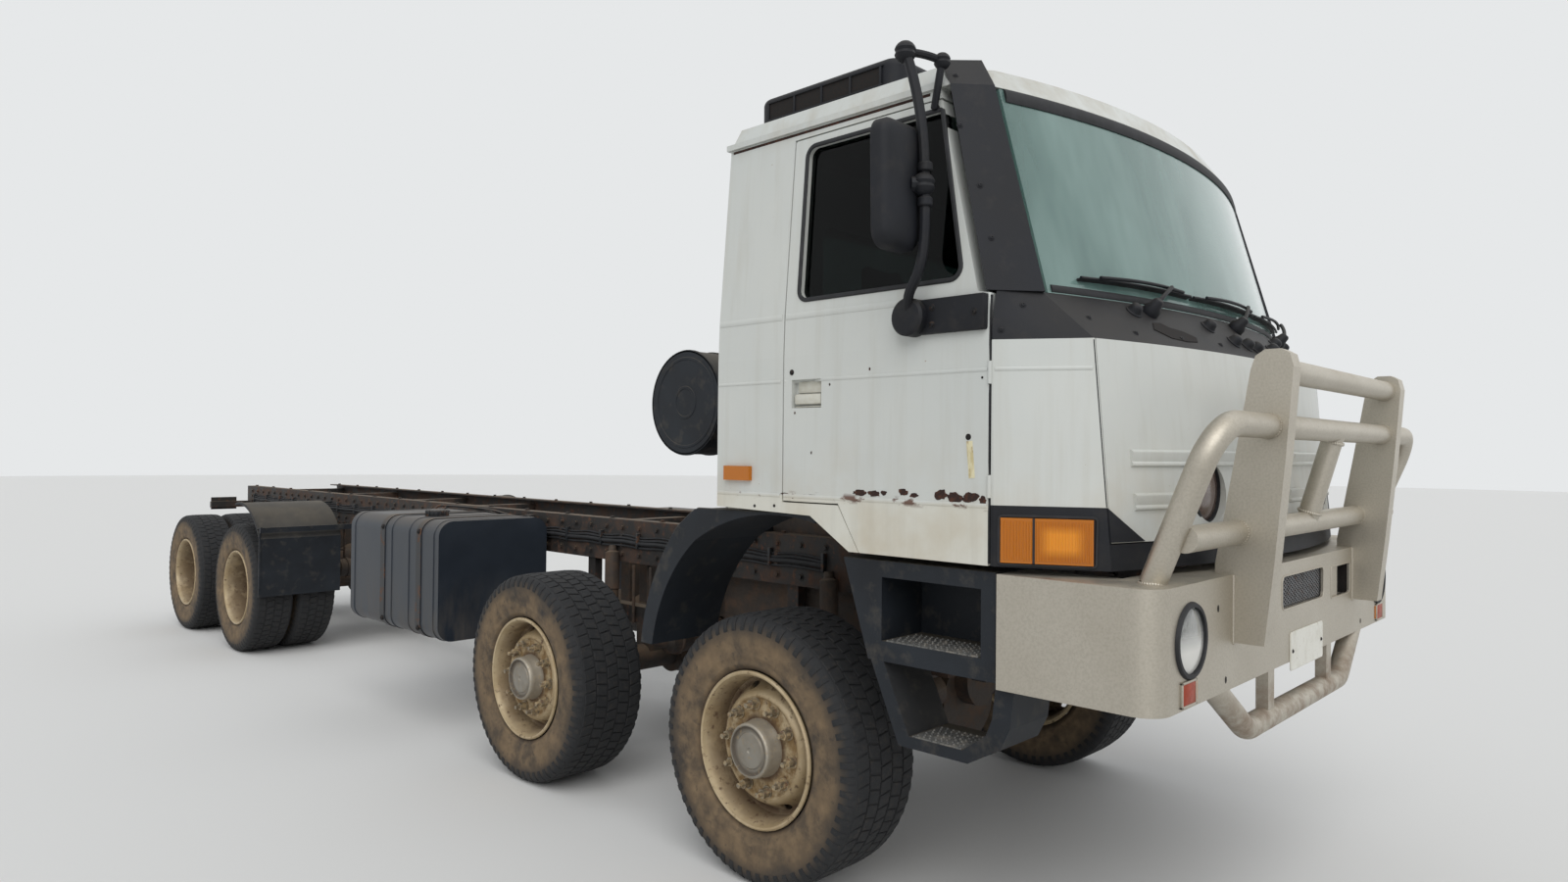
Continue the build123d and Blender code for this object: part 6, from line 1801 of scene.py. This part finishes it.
# %% U-bolts, dampers and brake chambers
SPRING_X = 0.41
DAMPER = Vector((-0.045, 0.06, 0.52))
LONG = DAMPER.length
DAMPER_OUTLINE = [(0, 0), (0, 0.020), (0.03, 0.024), (0.04, 0.036), (LONG * 0.52, 0.036),
                  (LONG * 0.53, 0.042), (LONG - 0.04, 0.042), (LONG - 0.03, 0.024), (LONG, 0.020), (LONG, 0)]
CHAMBER_OUTLINE = [(-0.09, 0), (-0.09, 0.050), (-0.075, 0.072), (-0.010, 0.076), (-0.006, 0.084),
                   (0.006, 0.084), (0.010, 0.076), (0.060, 0.070), (0.080, 0.040), (0.150, 0.014), (0.150, 0)]
underside, legs = [], []
for sign in SIGN.values():
    for y in AXLES:
        for x in (sign * SPRING_X - 0.052, sign * SPRING_X + 0.052):
            legs += [[Vector((x, y + shift, z)) for z in (0.70, 1.02)] for shift in (-0.075, 0.075)]
        damper_way = Vector((sign * DAMPER.x, DAMPER.y, DAMPER.z))
        underside += [turned_on(DAMPER_OUTLINE, (sign * 0.52, y + 0.20, 0.60), damper_way, 20),
                      turned_on(CHAMBER_OUTLINE, (sign * 0.40, y - 0.22, 0.64), (sign, 0, 0))]
piece("springs_and_brakes", joined(rods(legs, 0.009, smooth=False), *underside), cast_iron)
print("U-bolt legs:", len(legs), "dampers and brake chambers:", len(underside))

# %% [markdown]
# ## Air cleaner, boxes and lamps
# The air cleaner's drum is clamped by bands and has a ribbed end cover. The battery box
# gets a lid seam and rubber latches, and the air tanks get weld rings. Each tail lamp is a
# black housing that holds three lenses: stop, tail and turn.

# %% Bands, latches, rings and lenses
CLEANER = at(-0.780, -0.685, 1.890)
DRUM_R = 0.2405
COVER_FACE = -0.2125
bands = bmesh.new()
for x, wide in ((-0.205, 0.020), (-0.06, 0.022), (0.12, 0.022)):
    turned([(x - wide / 2, DRUM_R - 0.006), (x - wide / 2, DRUM_R + 0.003), (x - wide / 4, DRUM_R + 0.005),
            (x + wide / 4, DRUM_R + 0.005), (x + wide / 2, DRUM_R + 0.003), (x + wide / 2, DRUM_R - 0.006)],
           64, shape=bands)
for radius in (0.070, 0.205):
    turned([(COVER_FACE, radius - 0.010), (COVER_FACE - 0.005, radius - 0.005),
            (COVER_FACE - 0.005, radius + 0.005), (COVER_FACE, radius + 0.010)], 64, shape=bands)
piece("air_cleaner_bands", placed(bands, CLEANER), road_plastic)

latches = slabs((at(-2.557, 0.515, 1.118), at(-3.343, 1.1525, 1.124), 0.001))
for f in (-3.20, -2.95, -2.70):
    slabs((at(f + 0.018, 1.149, 1.06), at(f - 0.018, 1.162, 1.17), 0.004),
          (at(f + 0.028, 1.149, 1.13), at(f - 0.028, 1.158, 1.15), 0.003), shape=latches)
piece("battery_box_latches", latches, rubber)
rings = [turned_on([(-0.006, 0.122), (-0.004, 0.1285), (0.004, 0.1285), (0.006, 0.122)],
                   at(forward, 0.620, 1.090), (0, 1, 0), 48, closed=True)
         for forward in (-3.90, -3.58, -4.43, -4.11)]
piece("air_tank_rings", joined(*rings), tank_paint)

low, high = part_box("tail_lamps")
near = min(v.co.x for v in nodes["tail_lamps"].data.vertices if v.co.x > 0)
third = (high.x - near) / 3
housings, lenses = bmesh.new(), {"red": bmesh.new(), "amber": bmesh.new()}
for sign in SIGN.values():
    slabs(((sign * near, low.y, low.z), (sign * high.x, high.y - 0.004, high.z), 0.002), shape=housings)
    for k, colour in enumerate(("red", "red", "amber")):
        x0, x1 = near + k * third + 0.004, near + (k + 1) * third - 0.004
        slabs(((sign * x0, high.y - 0.006, low.z + 0.005), (sign * x1, high.y, high.z - 0.005), 0.002),
              shape=lenses[colour])
piece("tail_lamp_housings", housings, road_plastic, replaces=["tail_lamps"])
piece("tail_lamp_red", lenses["red"], red_lens)
piece("tail_lamp_amber", lenses["amber"], amber_lens)
print("tail lamp lenses:", 6)

# %% [markdown]
# ## Seats
# A truck seat is moulded foam in a flat woven cover: crowned in the middle, pulled in at
# the seams, with bolsters at its sides. The CAD blocks are replaced. Each cushion starts
# from a slightly smaller block, is remeshed and inflated by the cloth simulation, and
# ends with welted seams.

# %% Seat cloth
seat_cloth = finish(
    "flat-woven grey seat cloth", "seat_cloth", "#45474c", 0.9,
    (0.8 * blotches(160, 0.4, 0.7), "#53544f", 0.92),
    (0.5 * blotches(6, 0.5, 0.6, (1, 0.3, 1), 1.0), "#2f3135", 0.92),
    (0.5 * facing(2, 0.4, 0.95) * blotches(120, 0.35, 0.6), "#7b7163", 0.95),
    bumps=[(blotches(5, 0.42, 0.58, weave, 1.0), 0.5) for weave in ((1, 0.35, 1), (0.35, 1, 1))],
    sockets={"Sheen Weight": 0.25, "Sheen Roughness": 0.5})
print("cloth:", seat_cloth.name)

# %% Inflate the cushions
FRAMES = 20
MOST_SWELLING = 0.024


def cushion(name, outline, centre_x, half_wide):
    """A padded form from its side outline of (forward, up) points, inflated by cloth."""
    travel = (2 * half_wide, 0, 0)
    shape = pushed(bmesh.new(), [at(f, centre_x - half_wide, z) for f, z in outline], travel)
    bmesh.ops.bevel(shape, geom=list(shape.edges), offset=0.030, segments=4, profile=0.5, affect="EDGES")
    thing = linked(name, as_mesh(name, shape))
    remesh = thing.modifiers.new("voxels", "REMESH")
    remesh.mode = "VOXEL"
    remesh.voxel_size = 0.014
    data = evaluated(thing)
    thing.modifiers.clear()
    thing.data = data
    cloth = thing.modifiers.new("cloth", "CLOTH")
    cloth.settings.use_pressure = True
    cloth.settings.uniform_pressure_force = 4.0
    cloth.settings.effector_weights.gravity = 0.0
    cloth.settings.quality = 4
    cloth.point_cache.frame_start = 1
    cloth.point_cache.frame_end = FRAMES
    for number in range(1, FRAMES + 1):
        scene.frame_set(number)
    swollen = evaluated(thing)
    thing.modifiers.clear()
    for vert, old in zip(swollen.vertices, data.vertices):
        move = vert.co - old.co
        vert.co = old.co + move * min(1.0, MOST_SWELLING / max(move.length, 1e-6))
    thing.data = swollen
    scene.frame_set(1)
    smooth = thing.modifiers.new("smooth", "SUBSURF")
    smooth.levels = smooth.render_levels = 1
    final = evaluated(thing)
    bpy.data.objects.remove(thing)
    return final


CUSHIONS = (("seat_cushion_", [(0.150, 1.800), (0.615, 1.805), (0.622, 1.880), (0.150, 1.872)], 0.222),
            ("seat_back_", [(0.128, 1.885), (0.215, 1.885), (0.150, 2.250), (0.085, 2.250)], 0.215),
            ("head_rest_", [(0.082, 2.275), (0.148, 2.275), (0.132, 2.450), (0.076, 2.450)], 0.130))
SEAT_X = 0.560
WELT_X, WELT_Z = 0.135, 1.898
FOLD_TALL = 0.034
for side, sign in SIGN.items():
    middle_x = sign * SEAT_X
    for label, outline, half_wide in CUSHIONS:
        thing = piece(label + side, cushion(label + side, outline, middle_x, half_wide), seat_cloth, crisp=80,
                      replaces=["seats"] if label + side == "seat_cushion_right" else [])
    welts = bmesh.new()
    for x in (middle_x - WELT_X, middle_x + WELT_X):
        run = [(at(f, x, WELT_Z), UP) for f in steps_between(0.175, 0.600, 0.05)]
        moulding(welts, run, bead(0.008, 0.004, 0.012))
    piece("seat_welts_" + side, welts, rubber)
    rows = [(0.545, 0.175, 0.205, 1.500, 1.545, 0.008)]
    for step in range(6):
        wider, foot = 0.012 * (step % 2), 1.545 + step * FOLD_TALL
        rows.append((0.50 + wider, 0.21 - wider, 0.170 + wider, foot, foot + 0.036, 0.008))
    rows += [(0.600, 0.160, 0.215, 1.746, 1.790, 0.010), (0.118, 0.092, 0.200, 1.780, 2.200, 0.010)]
    base = slabs(*((at(front, middle_x - half, low), at(rear, middle_x + half, high), edge)
                   for front, rear, half, low, high, edge in rows))
    piece("seat_base_" + side, base, cabin_trim)
print("cushions:", 2 * len(CUSHIONS))

# %% [markdown]
# ## Dashboard and inner trim
# The dashboard gets four round dials in raised bezels, and air vents with five slats. A
# gear lever stands between the seats in a ribbed boot. Each door has a trim card with an
# armrest, a pocket and two small handles, seen when it swings open.

# %% Dials, vents, lever and door cards
dial_white = finish(
    "printed instrument dial", "cabin_trim", "#0f1011", 0.3,
    (0.7 * blotches(9, 0.62, 0.66), "#c9c9c2", 0.4))
DASH_SKIN = skin_of("dashboard")
DIALS = ((-0.66, 1.98, 0.055), (-0.50, 1.98, 0.055), (-0.40, 1.965, 0.030), (-0.76, 1.965, 0.030))
VENT_X, VENT_Z = (-0.95, -0.18, 0.18, 0.55, 0.95), 1.99
LEVER = ((0.62, -0.05, 1.50), (0.62, -0.05, 1.66), (0.58, -0.08, 1.80), (0.52, -0.10, 1.92))


def on_dashboard(across, up):
    """Where the dashboard is met from behind, and the way it faces there."""
    return laid(DASH_SKIN, [at(0.30, across, up)], FORWARD)[0]


dials, bezels, vents = [], [], bmesh.new()
for across, up, radius in DIALS:
    met = on_dashboard(across, up)
    dials.append(turned_on([(-0.001, 0), (-0.001, radius), (0.003, radius), (0.003, 0)], *met, 32))
    bezels.append(turned_on([(-0.001, radius), (0.008, radius), (0.010, radius + 0.004),
                             (0.006, radius + 0.008), (-0.001, radius + 0.008)], *met, 32, closed=True))
for across in VENT_X:
    foot = on_dashboard(across, VENT_Z)[0].z - 0.028
    for k in range(5):
        place = on_dashboard(across, foot + 0.012 * k)[0]
        low, high = place + Vector((-0.055, -0.004, 0)), place + Vector((0.055, 0.008, 0.003))
        slabs((low, high, 0.001), shape=vents)
piece("dash_dials", joined(*dials), dial_white)
piece("dash_bezels", joined(*bezels), rubber)
piece("dash_vents", vents, rubber)

knob = upright([(-0.02, 0), (-0.02, 0.014), (0, 0.024), (0.022, 0.027), (0.042, 0.018), (0.050, 0)], 24,
               foot=at(0.52, -0.10, 1.92))
boot = upright([(0, 0), (0, 0.080), (0.02, 0.070), (0.035, 0.074), (0.055, 0.055), (0.070, 0.058),
                (0.095, 0.036), (0.11, 0.038), (0.14, 0.014), (0.14, 0)], 32, foot=at(0.62, -0.05, 1.499))
lever = rods([[at(*place) for place in LEVER]], 0.010)
piece("gear_lever", joined(lever, knob, boot), rubber)

for side, sign in SIGN.items():
    x = laid(DOOR_SKINS[side], [at(0.60, 0.2 * sign, 1.75)], (sign, 0, 0))[0][0].x
    outline = box_line((0.235, 1.545), (1.035, 2.150), 0.030)
    card = pushed(bmesh.new(), [at(f, x + sign * 0.002, z) for f, z in outline], (-sign * 0.006, 0, 0))
    for front, rear, low, high, deep, edge in (
            (0.78, 0.34, 1.885, 1.935, 0.050, 0.008), (0.92, 0.30, 1.590, 1.700, 0.028, 0.008),
            (0.98, 0.88, 1.99, 2.03, 0.020, 0.006), (0.66, 0.52, 2.02, 2.04, 0.030, 0.006)):
        slabs((at(front, x - sign * deep, low), at(rear, x, high), edge), shape=card)
    piece("door_card_" + side, card, cabin_trim, "door_" + side)
    print(side, "door's inner face at x =", round(x, 3))
